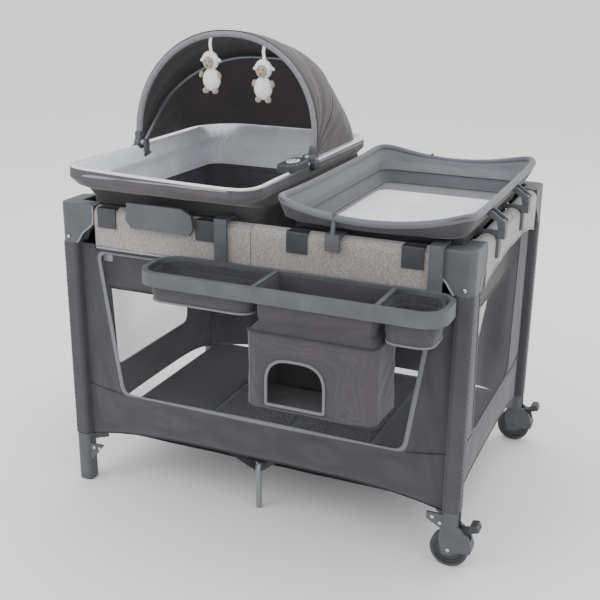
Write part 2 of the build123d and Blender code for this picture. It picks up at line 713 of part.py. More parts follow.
mid_corner = mid_half - 30
save("canopy_front_hoop", hoop(front_lean, canopy_half, front_reach, front_corner, knuckle_w))
save("canopy_mid_hoop", hoop(mid_lean, mid_half, mid_reach, mid_corner, knuckle_w))
save("bassinet_fittings", bassinet_bracket(-1), bassinet_bracket(1), *canopy_pivots())
canopy_sections = [
    arch_face(front_lean + 3, canopy_half + cloth_over, front_reach + cloth_over,
              front_corner + cloth_over),
    arch_face(mid_lean, mid_half + cloth_over, mid_reach + cloth_over, mid_corner + cloth_over),
    arch_face(rear_lean, canopy_half - 4, rear_reach, 130)]
save("canopy_cloth", loft(canopy_sections[:2], ruled=True), loft(canopy_sections[1:], ruled=True))


# --- music unit and toys -----------------------------------------------------------------------
def music_unit():
    x, y = music_at
    w, d, h = music_size
    base = bass_rim + bass_tube_r + cloth_gap
    body = block((x - w / 2, x + w / 2), (y - d / 2, y + d / 2), (base, base + h))
    body = fillet(body.edges().filter_by(Axis.Z), 16)
    body = fillet(body.faces().sort_by(Axis.Z)[-1].edges(), 5)
    clip = block((x - w / 2 + 2, x - w / 2 + 7), (y - 20, y + 20), (base - 18, base + 1))
    panel_well = Pos(x, y, base + h - music_well) * extrude(Ellipse(*music_panel), amount=10)
    return body + clip - panel_well


def music_button():
    x, y = music_at
    top = bass_rim + bass_tube_r + cloth_gap + music_size[2]
    size = [radius - side_play for radius in music_panel]
    return Pos(x, y, top - music_well + 1.5) * extrude(Ellipse(*size), amount=2.4)


save("music_unit", music_unit())
save("music_button", music_button())


def toy(x_mid):
    """Hanging plush lamb: body, head and the ribbon that loops up to the hoop."""
    hang_z = hoop_under(x_mid)
    y = hoop_y(hang_z)
    z = hang_z - ribbon[2]
    strap = block((x_mid - ribbon[0] / 2, x_mid + ribbon[0] / 2), (y - ribbon[1] / 2, y + ribbon[1] / 2),
                  (z - ribbon_sewn, hang_z))
    loop_r, loop_half = ribbon_loop
    loop = rod((x_mid - loop_half, y, hang_z), (x_mid + loop_half, y, hang_z), loop_r)
    head = Pos(x_mid, y, z - toy_head_h / 2) * Cylinder(toy_head_h / 2, toy_depth, rotation=(90, 0, 0))
    body = Pos(x_mid, y, z - toy_head_h - toy_body_h / 2 + 4) * Box(toy_w, toy_depth, toy_body_h)
    body = fillet(body.edges(), 10)
    return [head + strap + loop + body]


def hoop_under(x_mid):
    """Height of the hoop's lower side over x."""
    flat = canopy_half - front_corner
    run = max(abs(x_mid - canopy_x) - flat, 0)
    rise = front_reach - front_corner + (front_corner ** 2 - run ** 2) ** 0.5
    return canopy_z + (rise - hoop_r) * cos(radians(front_lean)) - 2.5


def hoop_y(height):
    return canopy_y + (height - canopy_z) * sin(radians(front_lean)) / cos(radians(front_lean))


for side, from_mid in zip(("left", "right"), toy_from_mid):
    x_mid = canopy_x + from_mid
    save(f"toy_{side}", *toy(x_mid))
    print("toy", side, "hangs from", x_mid, round(hoop_y(hoop_under(x_mid)), 1),
          round(hoop_under(x_mid), 1))


# --- changing table ----------------------------------------------------------------------------
chg_top = (chg_x[0], chg_x[1], -chg_y, chg_y)
chg_mid = (*chg_waist_x, -chg_waist_y, chg_waist_y)
chg_low = shrink(chg_mid, chg_taper)
save("changer_tray",
     *tub(chg_low, chg_mid, (chg_floor, chg_waist), chg_wall, chg_wall / 2),
     *tub(chg_mid, chg_top, (chg_waist, chg_rim - chg_tube_r - cloth_gap), chg_wall, 0))
rim_in = chg_wall / 2
changer_ring = ring_tube((chg_x[0] + rim_in, chg_x[1] - rim_in), (-chg_y + rim_in, chg_y - rim_in),
                         chg_rim, 70, chg_tube_r)
save("changer_frame", changer_ring)
chg_pad_in = chg_wall + 14
save("changer_pad",
     block((chg_low[0] + chg_pad_in, chg_low[1] - chg_pad_in),
           (chg_low[2] + 3 * chg_pad_in, chg_low[3] - 4 * chg_pad_in),
           (chg_floor + chg_wall / 2 + cloth_gap, chg_floor + chg_wall / 2 + chg_pad_t)))


def hinge_ears(y_mid):
    """Ears on the changer frame that turn on the pins of one rail clip."""
    pieces = []
    for sign in (-1, 1):
        y = (y_mid + sign * (clip_w / 2 - 5), y_mid + sign * clip_w / 2)
        ear = slab([(chg_x[1] - rim_in - 4, chg_rim - 4), (chg_x[1] + 8, chg_rim - 6),
                    (flip_x + 9, flip_z + 6), (flip_x + 6, flip_z - 8), (flip_x - 8, flip_z - 6),
                    (flip_x - 10, flip_z + 6), (chg_x[1] - rim_in - 4, chg_rim - 12)], sorted(y))
        hole = rod((flip_x, y_mid - 30, flip_z), (flip_x, y_mid + 30, flip_z), pin_r + pin_play)
        pieces.append(ear - hole - changer_ring)
    return pieces


def front_hook(sign):
    """Hook on the tray frame that rests over the front (-1) or rear (1) rail."""
    out = trim_out + 15
    top = trim_top + hook_t
    drop = block(hook_x, (out - 8, out), (bracket_z[0] + 6, top))
    cap = block(hook_x, (-trim_out, out), (trim_top + 1, top))
    x = sum(hook_x) / 2
    stem = rod((x, out - 4, top - 2), (x, chg_y - rim_in - post_y, chg_rim), 5)
    hook = Pos(0, post_y, 0) * (drop + cap + stem) - changer_ring
    return hook if sign > 0 else mirror(hook, Plane.XZ)


save("changer_hooks", front_hook(-1), front_hook(1), *[e for y in clip_y for e in hinge_ears(y)])


def rail_clip(y_mid):
    """Clip over the right rail with the flip hinge pin."""
    inner = trim_out + 1.0
    half = clip_w / 2 - 5 - side_play
    y = (y_mid - half, y_mid + half)
    wall = 6.0
    low = rail_z - 24
    body = block((-inner - 4, inner + wall), y, (low + 18, trim_top + 8))
    body = body - block((-inner, inner), (y[0] - 1, y[1] + 1), (0, trim_top + 1))
    body = body + block((inner, inner + wall), y, (low, low + 19))
    ear = Pos(-post_x, 0, 0) * (
        block((flip_x - 8, flip_x + 8), y, (trim_top - 6, flip_z))
        + rod((flip_x, y[0], flip_z), (flip_x, y[1], flip_z), 8)
        + block((post_x + inner, flip_x + 2), y, (trim_top - 6, trim_top + 8)))
    pin = Pos(-post_x, 0, 0) * rod((flip_x, y_mid - clip_w / 2 - 2, flip_z),
                                   (flip_x, y_mid + clip_w / 2 + 2, flip_z), pin_r)
    return Pos(post_x, 0, 0) * (body + ear + pin)


save("changer_rail_clips", *[rail_clip(y) for y in clip_y])


# --- organizer ---------------------------------------------------------------------------------
def organizer_band():
    """Moulded band with rounded corners, three openings and two rail hooks."""
    outer = RectangleRounded(org_x[1] - org_x[0], org_y[1] - org_y[0], org_corner)
    mid = ((org_x[0] + org_x[1]) / 2, (org_y[0] + org_y[1]) / 2)
    inner = offset(outer, -org_band)
    band = extrude(outer - inner, amount=org_h)
    for x in stack_x:
        band = band + block((x - mid[0] - 5, x - mid[0] + 5),
                            (org_y[0] - mid[1] + 4, org_y[1] - mid[1] - 4), (org_h - 14, org_h))
    band = Pos(mid[0], mid[1], org_top - org_h) * band
    return band


def organizer_hook(x_mid):
    """Strap hook from the band up and over the front rail."""
    x = (x_mid - org_hook_w / 2, x_mid + org_hook_w / 2)
    y_out = -post_y - trim_out - 5.5
    plate = block(x, (y_out - 5, y_out), (org_top - org_h, trim_top + 14))
    cap = block(x, (y_out - 5, -post_y + trim_out + 6), (trim_top + 9, trim_top + 14))
    tip = block(x, (-post_y + trim_out + 1.5, -post_y + trim_out + 6), (trim_top - 20, trim_top + 14))
    boss = block(x, (org_y[1] - 1, y_out), (org_top - org_h, org_top))
    return plate + cap + tip + boss


save("organizer_frame",
     organizer_band() + organizer_hook(org_hook_x[0]) + organizer_hook(org_hook_x[1]))
basket_y = (org_y[0] + org_band + cloth_gap, org_y[1] - org_band - cloth_gap)
basket_top = org_top - org_h - cloth_gap
basket_left = (org_x[0] + org_band + 8, stack_x[0] - 6, *basket_y)
basket_right = (stack_x[1] + 6, org_x[1] - org_band - 8, *basket_y)

save("organizer_baskets",
     *tub(shrink(basket_left, 12), basket_left, (org_top - basket_deep[0], basket_top), basket_wall,
          basket_wall),
     *tub(shrink(basket_right, 12), basket_right, (org_top - basket_deep[1], basket_top), basket_wall,
          basket_wall))


def stacker():
    """Diaper stacker: open-topped upper sleeve and a wider lower box with a door opening."""
    y = (org_y[0] + org_band + cloth_gap, org_y[1] - org_band - cloth_gap)
    x = (stack_x[0] + 6, stack_x[1] - 6)
    upper = [block(x, (y[0], y[0] + stack_wall), (stack_mid, basket_top)),
             block(x, (y[1] - stack_wall, y[1]), (stack_mid, basket_top)),
             block((x[0], x[0] + stack_wall), (y[0] + stack_wall, y[1] - stack_wall),
                   (stack_mid, basket_top)),
             block((x[1] - stack_wall, x[1]), (y[0] + stack_wall, y[1] - stack_wall),
                   (stack_mid, basket_top))]
    x = (stack_x[0] - stack_bulge, stack_x[1] + stack_bulge)
    y = (org_y[0] - stack_bulge / 2, y[1])
    z = (stack_low, stack_mid)
    walls = [block((x[0], x[0] + stack_wall), y, z), block((x[1] - stack_wall, x[1]), y, z),
             block((x[0] + stack_wall, x[1] - stack_wall), (y[1] - stack_wall, y[1]), z)]
    inner = (x[0] + stack_wall, x[1] - stack_wall)
    front = (y[0], y[0] + stack_wall)
    depth = (y[0], y[1] - stack_wall)
    front_panels = [block((inner[0], door_x[0]), front, z), block((door_x[1], inner[1]), front, z),
                    block(door_x, front, (stack_low, door_z[0])),
                    block(door_x, front, (door_z[1], stack_mid))]
    base = block(inner, (y[0] + stack_wall, depth[1]), (stack_low, stack_low + stack_wall))
    return upper + walls + front_panels + [base]


save("diaper_stacker", *stacker())
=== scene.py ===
import json
import math
import bpy
from mathutils import Matrix, Vector


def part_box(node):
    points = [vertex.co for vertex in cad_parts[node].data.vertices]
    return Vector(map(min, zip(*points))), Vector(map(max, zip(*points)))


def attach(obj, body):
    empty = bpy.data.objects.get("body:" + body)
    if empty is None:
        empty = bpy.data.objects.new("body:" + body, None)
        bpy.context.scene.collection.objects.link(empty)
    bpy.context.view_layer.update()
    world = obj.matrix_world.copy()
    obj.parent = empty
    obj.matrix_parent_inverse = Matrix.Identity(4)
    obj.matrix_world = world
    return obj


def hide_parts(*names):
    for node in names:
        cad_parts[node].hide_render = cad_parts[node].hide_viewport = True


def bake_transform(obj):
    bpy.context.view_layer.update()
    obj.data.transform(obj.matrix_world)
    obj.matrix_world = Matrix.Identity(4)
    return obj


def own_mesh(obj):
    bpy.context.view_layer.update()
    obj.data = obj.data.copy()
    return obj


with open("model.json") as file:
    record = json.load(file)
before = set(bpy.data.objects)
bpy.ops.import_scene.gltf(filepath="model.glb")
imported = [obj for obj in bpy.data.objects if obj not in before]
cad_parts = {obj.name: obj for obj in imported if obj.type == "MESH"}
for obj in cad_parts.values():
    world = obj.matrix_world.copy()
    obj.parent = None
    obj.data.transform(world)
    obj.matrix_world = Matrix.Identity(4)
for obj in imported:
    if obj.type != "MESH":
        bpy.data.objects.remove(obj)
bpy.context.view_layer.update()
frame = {"nodes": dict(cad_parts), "record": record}
print("frame loaded", len(frame["nodes"]), "nodes")

mm = 0.001

camera = {"azimuth": 23.21, "elevation": 19.16, "roll": 0.63, "distance": 2.6055,
          "aim": (0, 0, 0.370), "right": -0.0324, "up": 0.0757, "lens": 59.9}


def addCamera():
    az, el, roll = (math.radians(camera[k]) for k in ("azimuth", "elevation", "roll"))
    back = Vector((math.sin(az) * math.cos(el), -math.cos(az) * math.cos(el), math.sin(el)))
    right = (-back).cross(Vector((0, 0, 1))).normalized()
    up = right.cross(-back)
    where = Vector(camera["aim"]) + back * camera["distance"] + right * camera["right"] + up * camera["up"]
    rightRolled = right * math.cos(roll) + up * math.sin(roll)
    upRolled = up * math.cos(roll) - right * math.sin(roll)
    turn = Matrix((rightRolled, upRolled, back)).transposed()
    bpy.ops.object.camera_add(location=where, rotation=turn.to_euler())
    shot = bpy.context.object
    shot.data.lens = camera["lens"]
    shot.data.sensor_width = 36
    bpy.context.scene.camera = shot


addCamera()


studio = {"floor": "#fbfbfb", "floorSize": 60, "world": 1.25,
          "lights": [("keyLight", (-2.2, -3.0, 3.4), 2.6, 52), ("fillLight", (3.2, -2.4, 2.2), 2.4, 20),
                     ("topLight", (0.2, 0.6, 4.0), 3.0, 42), ("backLight", (1.5, 3.2, 2.6), 2.2, 16)]}


def hexColour(code):
    parts = [int(code[i:i + 2], 16) / 255 for i in (1, 3, 5)]
    return [c / 12.92 if c <= 0.04045 else ((c + 0.055) / 1.055) ** 2.4 for c in parts] + [1]


def addNode(tree, kind, settings=None, inputs=None, links=None):
    node = tree.nodes.new(kind)
    for key, value in (settings or {}).items():
        setattr(node, key, value)
    for key, value in (inputs or {}).items():
        node.inputs[key].default_value = value
    for key, source in (links or {}).items():
        tree.links.new(source, node.inputs[key])
    return node


def newMaterial(name):
    material = bpy.data.materials.new(name)
    material.use_nodes = True
    tree = material.node_tree
    tree.nodes.clear()
    output = addNode(tree, "ShaderNodeOutputMaterial")
    return material, tree, output


def deselectAll():
    if bpy.context.object and bpy.context.object.mode != "OBJECT":
        bpy.ops.object.mode_set(mode="OBJECT")
    bpy.ops.object.select_all(action="DESELECT")


def addStudio():
    deselectAll()
    bpy.ops.mesh.primitive_plane_add(size=studio["floorSize"], location=(0, 0, -0.0005))
    floor = bpy.context.object
    floor.name = "studioFloor"
    material, tree, output = newMaterial("pale floor paint")
    paint = addNode(tree, "ShaderNodeBsdfPrincipled", inputs={"Base Color": hexColour(studio["floor"]),
                                                             "Roughness": 0.9})
    tree.links.new(paint.outputs[0], output.inputs[0])
    floor.data.materials.append(material)
    world = bpy.context.scene.world or bpy.data.worlds.new("studio")
    bpy.context.scene.world = world
    world.use_nodes = True
    sky = world.node_tree.nodes.get("Background")
    sky.inputs["Color"].default_value = (1, 1, 1, 1)
    sky.inputs["Strength"].default_value = studio["world"]
    for name, where, size, power in studio["lights"]:
        aim = (Vector((0, 0, 0.5)) - Vector(where)).to_track_quat("-Z", "Y").to_euler()
        bpy.ops.object.light_add(type="AREA", location=where, rotation=aim)
        light = bpy.context.object
        light.name = name
        light.data.size = size
        light.data.energy = power


addStudio()
print("studio ready")


def addThreads(tree, pitch, distortion):
    # raised threads along the three axes, averaged, so the weave shows on a face of any direction
    place = addNode(tree, "ShaderNodeTexCoord").outputs["Object"]
    total = None
    for axis in ("X", "Y", "Z"):
        wave = addNode(tree, "ShaderNodeTexWave", {"wave_type": "BANDS", "bands_direction": axis},
                       {"Scale": 0.314 / pitch, "Distortion": distortion, "Detail": 1.0,
                        "Detail Scale": 2.0},
                       {"Vector": place})
        if total is None:
            total = wave.outputs["Fac"]
        else:
            total = addNode(tree, "ShaderNodeMath", {"operation": "ADD"},
                            links={0: total, 1: wave.outputs["Fac"]}).outputs[0]
    share = addNode(tree, "ShaderNodeMath", {"operation": "DIVIDE"}, {1: 3.0}, {0: total})
    return place, share.outputs[0]


def addNoise(tree, place, size, detail=3.0, roughness=0.5):
    # soft blotches of about the given size in metres
    return addNode(tree, "ShaderNodeTexNoise", inputs={"Scale": 1 / size, "Detail": detail,
                                                        "Roughness": roughness},
                   links={"Vector": place}).outputs["Fac"]


def rampBetween(tree, factor, dark, light, low=0.3, high=0.7):
    ramp = addNode(tree, "ShaderNodeValToRGB", links={"Fac": factor})
    ramp.color_ramp.elements[0].position = low
    ramp.color_ramp.elements[0].color = hexColour(dark)
    ramp.color_ramp.elements[1].position = high
    ramp.color_ramp.elements[1].color = hexColour(light)
    return ramp.outputs["Color"]


def mixColour(tree, factor, first, second, blend="MIX"):
    mix = addNode(tree, "ShaderNodeMix", {"data_type": "RGBA", "blend_type": blend})
    if isinstance(factor, float):
        mix.inputs[0].default_value = factor
    else:
        tree.links.new(factor, mix.inputs[0])
    tree.links.new(first, mix.inputs[6])
    tree.links.new(second, mix.inputs[7])
    return mix.outputs[2]


def wovenCloth(name, dark, light, pitch, bump=0.25, sheen=0.25, roughness=0.85, crease=0.0,
               distortion=0.6):
    # plain woven polyester: fine crossed threads, soft colour drift, dull with a little sheen
    material, tree, output = newMaterial(name)
    place, threads = addThreads(tree, pitch, distortion)
    drift = addNoise(tree, place, 0.09)
    colour = mixColour(tree, 0.35, rampBetween(tree, threads, dark, light),
                       rampBetween(tree, drift, dark, light))
    height = addNode(tree, "ShaderNodeBump", inputs={"Strength": bump, "Distance": 0.0006},
                     links={"Height": threads})
    if crease:
        folds = addNoise(tree, place, 0.055, 2.0, 0.45)
        height = addNode(tree, "ShaderNodeBump", inputs={"Strength": crease, "Distance": 0.012},
                         links={"Height": folds, "Normal": height.outputs[0]})
    cloth = addNode(tree, "ShaderNodeBsdfPrincipled",
                    inputs={"Roughness": roughness, "Sheen Weight": sheen, "Sheen Roughness": 0.4,
                            "Specular IOR Level": 0.35},
                    links={"Base Color": colour, "Normal": height.outputs[0]})
    tree.links.new(cloth.outputs[0], output.inputs[0])
    return material


def heatherCloth(name, dark, light, pitch):
    # two-tone heather weave: pale and dark yarns mixed, so it looks flecked across both directions
    material, tree, output = newMaterial(name)
    place = addNode(tree, "ShaderNodeTexCoord").outputs["Object"]
    flecks = None
    for stretch in ((0.16, 0.16, 1.0), (1.0, 1.0, 0.16)):
        along = addNode(tree, "ShaderNodeMapping", inputs={"Scale": stretch}, links={"Vector": place})
        noise = addNode(tree, "ShaderNodeTexNoise", inputs={"Scale": 1 / pitch, "Detail": 2.0},
                        links={"Vector": along.outputs[0]}).outputs["Fac"]
        if flecks is None:
            flecks = noise
        else:
            flecks = addNode(tree, "ShaderNodeMath", {"operation": "MULTIPLY_ADD"}, {1: 0.5},
                             {0: noise, 2: addNode(tree, "ShaderNodeMath", {"operation": "MULTIPLY"},
                                                   {1: 0.5}, {0: flecks}).outputs[0]}).outputs[0]
    colour = rampBetween(tree, flecks, dark, light, 0.40, 0.62)
    height = addNode(tree, "ShaderNodeBump", inputs={"Strength": 0.35, "Distance": 0.0008},
                     links={"Height": flecks})
    cloth = addNode(tree, "ShaderNodeBsdfPrincipled",
                    inputs={"Roughness": 0.92, "Sheen Weight": 0.3, "Specular IOR Level": 0.25},
                    links={"Base Color": colour, "Normal": height.outputs[0]})
    tree.links.new(cloth.outputs[0], output.inputs[0])
    return material


def meshNetting(name, thread, cover, pitch):
    # knitted polyester netting: see-through, with open holes between dark threads
    material, tree, output = newMaterial(name)
    threads = addThreads(tree, pitch, 0.0)[1]
    span = addNode(tree, "ShaderNodeMapRange", inputs={"From Min": 0.2, "From Max": 0.8,
                                                       "To Min": cover - 0.16, "To Max": cover + 0.16},
                   links={"Value": threads})
    yarn = addNode(tree, "ShaderNodeBsdfPrincipled", inputs={"Base Color": hexColour(thread),
                                                            "Roughness": 0.8, "Sheen Weight": 0.2})
    hole = addNode(tree, "ShaderNodeBsdfTransparent")
    mix = addNode(tree, "ShaderNodeMixShader", links={0: span.outputs[0]})
    tree.links.new(hole.outputs[0], mix.inputs[1])
    tree.links.new(yarn.outputs[0], mix.inputs[2])
    tree.links.new(mix.outputs[0], output.inputs[0])
    return material


def mouldedPlastic(name, colour, worn, grain, roughness=0.48):
    # moulded polypropylene: fine spark texture, slightly paler in soft random blotches, soft highlights
    material, tree, output = newMaterial(name)
    place = addNode(tree, "ShaderNodeTexCoord").outputs["Object"]
    texture = addNoise(tree, place, grain, 2.0)
    drift = addNoise(tree, place, 0.05)
    shade = rampBetween(tree, drift, colour, worn, 0.35, 0.9)
    height = addNode(tree, "ShaderNodeBump", inputs={"Strength": 0.12, "Distance": 0.0003},
                     links={"Height": texture})
    rough = addNode(tree, "ShaderNodeMapRange",
                    inputs={"To Min": roughness - 0.06, "To Max": roughness + 0.1},
                    links={"Value": drift})
    plastic = addNode(tree, "ShaderNodeBsdfPrincipled", inputs={"IOR": 1.49},
                      links={"Base Color": shade, "Roughness": rough.outputs[0],
                             "Normal": height.outputs[0]})
    tree.links.new(plastic.outputs[0], output.inputs[0])
    return material


def coatedSteel(name, colour, metallic, roughness):
    # steel tube, powder coated or bright: faint orange peel, streaks along the finish
    material, tree, output = newMaterial(name)
    place = addNode(tree, "ShaderNodeTexCoord").outputs["Object"]
    peel = addNoise(tree, place, 0.0025, 2.0)
    smudge = addNoise(tree, place, 0.03)
    height = addNode(tree, "ShaderNodeBump", inputs={"Strength": 0.08, "Distance": 0.0002},
                     links={"Height": peel})
    rough = addNode(tree, "ShaderNodeMapRange",
                    inputs={"To Min": roughness - 0.08, "To Max": roughness + 0.1},
                    links={"Value": smudge})
    steel = addNode(tree, "ShaderNodeBsdfPrincipled",
                    inputs={"Base Color": hexColour(colour), "Metallic": metallic},
                    links={"Roughness": rough.outputs[0], "Normal": height.outputs[0]})
    tree.links.new(steel.outputs[0], output.inputs[0])
    return material


# drawn coarse: 0.5 mm threads
charcoalCloth = wovenCloth("woven polyester charcoal", "#3e3c41", "#504e53", 2.2 * mm)
darkCloth = wovenCloth("woven polyester dark", "#28272b", "#36353a", 2.2 * mm)
skirtCloth = wovenCloth("woven polyester taupe grey", "#4a474a", "#5a575a", 2.0 * mm, crease=0.25)
canopyClothMat = wovenCloth("canopy polyester taupe grey", "#454142", "#565152", 2.0 * mm, crease=0.3)
changerCloth = wovenCloth("changer polyester mid grey", "#5f6166", "#707278", 2.0 * mm, sheen=0.35)
liningCloth = wovenCloth("brushed lining white", "#d3d5dd", "#eceef4", 1.8 * mm, crease=0.55, sheen=0.4)
whitePadCloth = wovenCloth("brushed polyester white", "#d9dade", "#ececf0", 1.8 * mm, crease=0.2)
stackerCloth = wovenCloth("stacker polyester charcoal", "#413f43", "#504d51", 2.2 * mm, crease=0.35)
trimCloth = heatherCloth("heather polyester light grey", "#7d7a79", "#aca8a6", 1.2 * mm)
hoopCloth = heatherCloth("heather binding mid grey", "#6d6c71", "#929197", 1.1 * mm)
bindingTape = wovenCloth("grosgrain binding slate", "#696c70", "#7e8185", 1.5 * mm, bump=0.5)
wallNetting = meshNetting("wall netting black", "#55555a", 0.16, 3.0 * mm)
basketNetting = meshNetting("basket netting charcoal", "#4a494e", 0.66, 3.0 * mm)
slatePlastic = mouldedPlastic("moulded polypropylene slate", "#4b4e52", "#5c6064", 0.9 * mm)
darkPlastic = mouldedPlastic("moulded polypropylene dark", "#303236", "#3e4145", 0.9 * mm)
wheelPlastic = mouldedPlastic("moulded nylon wheel", "#36383b", "#494b4f", 0.9 * mm, 0.4)
whitePlastic = mouldedPlastic("gloss ABS white", "#e6e6e9", "#f2f2f4", 1.2 * mm, 0.3)
frameSteel = coatedSteel("powder coated steel grey", "#8f9496", 0.75, 0.38)
brightSteel = coatedSteel("bright zinc steel", "#c9cdce", 1.0, 0.28)
plush = wovenCloth("plush white", "#e4e4e6", "#f6f6f7", 1.2 * mm, bump=0.8, sheen=0.8)
plushFace = wovenCloth("plush beige", "#978b7c", "#b3a797", 1.2 * mm, bump=0.8, sheen=0.6)
print("materials ready")


def applyModifiers(piece):
    bpy.context.view_layer.objects.active = piece
    for modifier in list(piece.modifiers):
        bpy.ops.object.modifier_apply(modifier=modifier.name)


def weldAndTurnOut(piece):
    deselectAll()
    piece.select_set(True)
    bpy.context.view_layer.objects.active = piece
    bpy.ops.object.mode_set(mode="EDIT")
    bpy.ops.mesh.select_all(action="SELECT")
    bpy.ops.mesh.remove_doubles(threshold=0.00005)
    bpy.ops.mesh.normals_make_consistent(inside=False)
    bpy.ops.object.mode_set(mode="OBJECT")


def smoothed(piece, angle=40):
    deselectAll()
    piece.select_set(True)
    bpy.context.view_layer.objects.active = piece
    bpy.ops.object.shade_smooth_by_angle(angle=math.radians(angle))


def sheetOf(name, countU, countV, place):
    # a grid primitive whose points go to place(u, v), with u and v from 0 to 1
    deselectAll()
    bpy.ops.mesh.primitive_grid_add(x_subdivisions=countU, y_subdivisions=countV, size=1)
    sheet = bpy.context.object
    sheet.name = name
    for vertex in sheet.data.vertices:
        vertex.co = place(vertex.co.x + 0.5, vertex.co.y + 0.5)
    weldAndTurnOut(sheet)
    return sheet


def thicken(piece, thickness, offset=-1.0):
    solid = piece.modifiers.new("cloth thickness", "SOLIDIFY")
    solid.thickness = thickness
    solid.offset = offset
    applyModifiers(piece)
    return piece


def cordOf(name, points, radius, closed=False, squashZ=1.0, sides=2):
    # piping, binding or wire: a smooth curve through the points, made a mesh
    deselectAll()
    bpy.ops.curve.primitive_nurbs_path_add()
    curve = bpy.context.object
    curve.name = name
    curve.data.splines.clear()
    spline = curve.data.splines.new("NURBS")
    spline.points.add(len(points) - 1)
    for knot, point in zip(spline.points, points):
        knot.co = (*point, 1)
    spline.order_u = 3
    spline.use_cyclic_u = closed
    spline.use_endpoint_u = not closed
    spline.resolution_u = 3
    curve.data.bevel_depth = radius
    curve.data.bevel_resolution = sides
    curve.data.use_fill_caps = not closed
    bpy.ops.object.convert(target="MESH")
    cord = bpy.context.object
    bpy.ops.object.transform_apply(location=True, rotation=True, scale=True)
    weldAndTurnOut(cord)
    smoothed(cord, 60)
    return cord


def blockOf(name, low, high, bevel, segments=3):
    # a moulded block between two corners with rounded edges
    deselectAll()
    middle = (Vector(low) + Vector(high)) / 2
    bpy.ops.mesh.primitive_cube_add(size=1, location=middle)
    piece = bpy.context.object
    piece.name = name
    piece.scale = Vector(high) - Vector(low)
    bpy.ops.object.transform_apply(location=True, rotation=True, scale=True)
    bpy.ops.object.mode_set(mode="EDIT")
    bpy.ops.mesh.select_all(action="SELECT")
    bpy.ops.mesh.bevel(offset=bevel, segments=segments, affect="EDGES")
    bpy.ops.object.mode_set(mode="OBJECT")
    smoothed(piece)
    return piece


def ballOf(name, middle, size, turn=(0, 0, 0), detail=16):
    # a stuffed ball, stretched to size = (x, y, z) radii
    deselectAll()
    bpy.ops.mesh.primitive_uv_sphere_add(segments=detail * 2, ring_count=detail, radius=1,
                                         location=middle,
                                         rotation=turn)
    ball = bpy.context.object
    ball.name = name
    ball.scale = size
    bpy.ops.object.transform_apply(location=True, rotation=True, scale=True)
    smoothed(ball, 80)
    return ball


def joinAll(name, parts):
    deselectAll()
    for part in parts:
        part.select_set(True)
    bpy.context.view_layer.objects.active = parts[0]
    bpy.ops.object.join()
    parts[0].name = name
    return parts[0]


def dress(piece, body, material, stands=()):
    # give a finished piece its material, and let it ride its body; given a pair of bodies instead, it
    # stays fixed where it is
    piece.data.materials.clear()
    piece.data.materials.append(material)
    if isinstance(body, str):
        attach(piece, body)
    else:
        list(body)
        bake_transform(piece)
    if stands:
        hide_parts(*stands)


def outlineAt(corners, radius, t):
    # a point of a rounded polygon, from the middle of its last side round to the same place
    count = len(corners)
    side = (t % 1.0) * count
    index = min(int(side), count - 1)
    share = side - index
    here, before, after = (Vector(corners[i % count]) for i in (index, index - 1, index + 1))
    start, end = (before + here) / 2, (here + after) / 2
    back, on = here + (before - here).normalized() * radius, here + (after - here).normalized() * radius
    if share < 0.25:
        return start.lerp(back, share * 4)
    if share > 0.75:
        return on.lerp(end, share * 4 - 3)
    bend = share * 2 - 0.5
    return back.lerp(here, bend).lerp(here.lerp(on, bend), bend)


def rectAt(rect, radius, t):
    x0, x1, y0, y1 = rect
    radius = min(radius, (x1 - x0) / 2.02, (y1 - y0) / 2.02)
    return outlineAt([(x0, y0), (x1, y0), (x1, y1), (x0, y1)], radius, t)


def ripple(t, waves):
    # uneven folds: a few sines of different counts and sizes, from -1 to 1
    return sum(size * math.sin(2 * math.pi * count * t + shift) for count, size, shift in waves)


def levelAt(levels, v):
    # rect, corner radius and height of a shell at share v down its list of levels
    place = v * (len(levels) - 1)
    index = min(int(place), len(levels) - 2)
    share = place - index
    (rectA, radiusA, zA), (rectB, radiusB, zB) = levels[index], levels[index + 1]
    rect = [a + (b - a) * share for a, b in zip(rectA, rectB)]
    return rect, radiusA + (radiusB - radiusA) * share, zA + (zB - zA) * share


def shrunk(rect, by):
    return (rect[0] + by, rect[1] - by, rect[2] + by, rect[3] - by)


def ridgeOf(rect):
    # the rectangle closed to the line along its middle
    return shrunk(rect, min(rect[1] - rect[0], rect[3] - rect[2]) / 2 - 0.02 * mm)


def shellOf(name, levels, around, down, adjust=None):
    # a cloth shell through rounded rings, from its rim inwards or downwards
    def place(u, v):
        rect, radius, z = levelAt(levels, v)
        point = rectAt(rect, radius, u)
        spot = Vector((point.x, point.y, z))
        return adjust(spot, u, v) if adjust else spot
    return sheetOf(name, around, down, place)


def boxOf(node):
    low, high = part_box(node)
    return [c for pair in zip(low, high) for c in pair]      # x0, x1, y0, y1, z0, z1


finishes = {frameSteel: ("post_", "rail_front", "rail_rear", "rail_left", "rail_right", "floor_tube",
                         "centre_leg",
                         "bassinet_frame", "changer_frame", "canopy_front_hoop", "canopy_mid_hoop"),
            slatePlastic: ("corner_casting", "foot_", "wheel_housing", "bassinet_fittings",
                           "changer_rail_clips",
                           "changer_hooks", "organizer_frame"),
            darkPlastic: ("brake_pedal", "music_unit", "lift_hub", "rail_saddles", "latch_button"),
            wheelPlastic: ("wheel_fr", "wheel_rr"),
            whitePlastic: ("music_button",)}
for material, starts in finishes.items():
    for name, node in frame["nodes"].items():
        if name.startswith(starts) and not (material == frameSteel and name.startswith("rail_trim")):
            node.data.materials.clear()
            node.data.materials.append(material)
print("CAD finishes set")

post = {"x": 0.482, "y": 0.340, "hinge": 0.432, "hingeY": 0.290}


